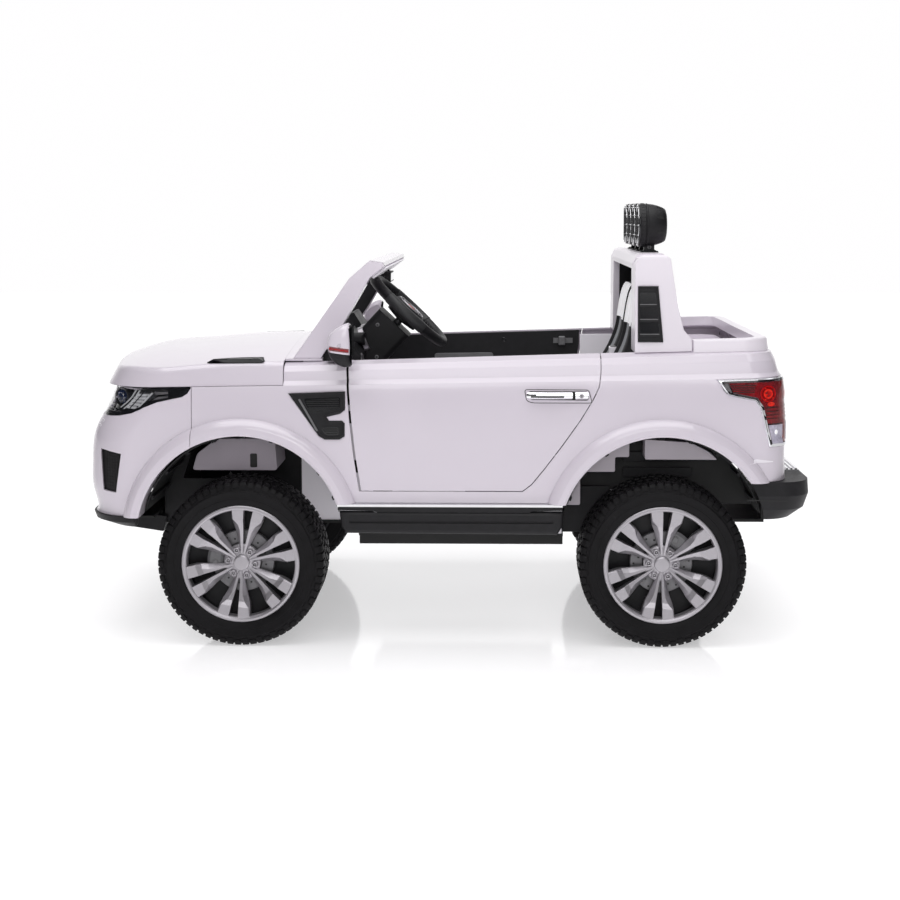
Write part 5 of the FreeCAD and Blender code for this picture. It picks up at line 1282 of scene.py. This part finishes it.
def arch_liners():
    for name, x, inner in (("front", FRONT_X, 180), ("rear", REAR_X, 240)):
        kit = Kit()
        verts = []
        for a in ARCH_TURNS:
            for r, y in ((ARCH_R, inner), (ARCH_R, ARCH_OUT), (ARCH_R + 3, ARCH_OUT), (ARCH_R + 3, inner)):
                verts.append((x + r * math.cos(a), y, ARCH_Z + r * math.sin(a)))
        kit.add(verts, [list(reversed(f)) for f in ring_faces(len(ARCH_TURNS), 4)], DARK)
        for k in range(9):
            along, cross = slope(math.radians(22 + 17 * k))
            move = basis(along, cross, (0, -1, 0), (x, 0, ARCH_Z))
            kit.add(*box((191, -4, 8 - ARCH_OUT), (196.5, 4, -inner - 4)), BLACK, move)
        both(kit, "arch_liner_" + name, "chassis", "black_plastic", (), 30, 0.8)
    wall = Kit()
    ring = [(REAR_X + ARCH_R * math.cos(a), ARCH_Z + ARCH_R * math.sin(a)) for a in ARCH_TURNS]
    wall.add(*prism(ring, 237, 240), DARK)
    ribs = [(oblong(-70, 70, z, z + 20), 239, 246) for z in (286, 318, 350)]
    for outline, low, high in ribs + [(oblong(96, 202, 206, 300), 240.3, 250)]:
        wall.add(*prism(rounded_outline(beside(REAR_X, outline), 5), low, high), BLACK)
    both(wall, "arch_wall_rear", "chassis", "black_plastic", (), 30, 0.8)
    # The arch boxes are white parts; their darkened colours are painted shade.
    boxes = Kit()
    block = [(-64, 338), (-60, 402), (56, 402), (96, 372), (106, 338)]
    boxes.add(*prism(rounded_outline(beside(FRONT_X, block), 7), 178, 292), ARCH_SHADE)
    slot = beside(FRONT_X, oblong(-24, -10, 344, 372))
    boxes.add(*prism(rounded_outline(slot, 3), 291, 293), DARK)
    rear = ([(30, 361), (30, 402), (-60, 396), (-98, 377), (-114, 361)],
            [(147, 336), (89, 336), (89, 366), (61, 366), (61, 399), (90, 387), (113, 372), (140, 349)],
            [(186, 269), (158, 269), (158, 321), (166, 317), (180, 288)])
    for panel in rear:
        boxes.add(*prism(rounded_outline(beside(REAR_X, panel), 4), 244, 288), ARCH_HALF_SHADE)
    both(boxes, "arch_box", "chassis", "white_shell", (), 30, 1.0)
    skid = [(655, 232), (582, 222), (590, 190), (655, 200)]
    plate = Kit().add(*prism(skid, -188, 188), BLACK)
    plate.make("skid_plate", "chassis", "black_plastic", (), 30, 1.0)
    cover = [(206, 272.4), (206, 279), (-232, 279), (-232, 272.4), (-173, 271), (-167, 268), (130, 268),
             (136, 271)]
    sill = Kit().add(*prism(cover, 359, 362.7), BLACK)
    both(sill, "sill_cover", "chassis", "black_plastic", (), 30, 0.5)


def rear_details():
    bed = Kit()
    for y in (-180, 0, 180):
        bed.add(*lathe([(4.0, -0.4), (4.0, 0.3), (0.01, 0.3)], 20), DARK, aim((1, 0, 0), (-614.6, y, 574)))
    bed.make("bed_screws", "chassis", "grey_plastic")
    rear = Surface("rear", "tail_panel")
    tail = Kit()
    gate = rounded_outline(oblong(-224, 224, 352, 520), 14, 5)
    tail.add(*band(rear, gate, 2.4, 0.35, 1), DARK)
    pull = rounded_outline([(-56, 452), (-52, 482), (52, 482), (56, 452)], 8)
    tail.add(*patch(rear, pull, 1.2, 2), BLACK)
    tail.add(*band(rear, pull, 3, 2.4, 3), CHROME)
    tail.add(*patch(rear, rounded_outline(oblong(-46, 46, 470, 479), 4), 7, 7), BLACK_GLOSS)
    tail.make("tailgate_lines", "chassis", "black_plastic", (), 30, 0.5)
    bumper = Surface("side", "rear_bumper")
    line = Kit().add(*band(bumper, [(-592, 292), (-640, 291), (-672, 290)], 2.6, 0.4, 2, False), DARK)
    both(line, "bumper_line", "chassis", "black_plastic")
    quarter = Surface("side", "body_side_left")
    # A raised wedge in glowing white on the quarter: a moulded notch with a painted highlight on it.
    corner = [(-593, 366), (-604, 372.6), (-611, 373.4), (-642, 369), (-642, 367)]
    notch = Kit().add(*patch(quarter, corner, 0.9, 2), WHITE_TRIM_PAINTED_GLOW)
    both(notch, "quarter_notch_highlight", "chassis", "white_shell", (), 30)
    back = Surface("rear", "rear_bumper")
    groove = Kit().add(*band(back, [(-250, 290), (0, 290), (250, 290)], 2.6, 0.4, 2, False), DARK)
    for y in (-190, 190):
        lens = rounded_outline(oblong(y - 34, y + 34, 300, 310), 3)
        groove.add(*patch(back, lens, 1.4, 2), RED_DEEP)
    groove.make("bumper_groove", "chassis", "black_plastic")


studio()
headlights()
tail_lights()
spotlights()
vents()
doors()
mirrors()
seats()
steering()
cabin()
arch_liners()
rear_details()
dress()
wheels()
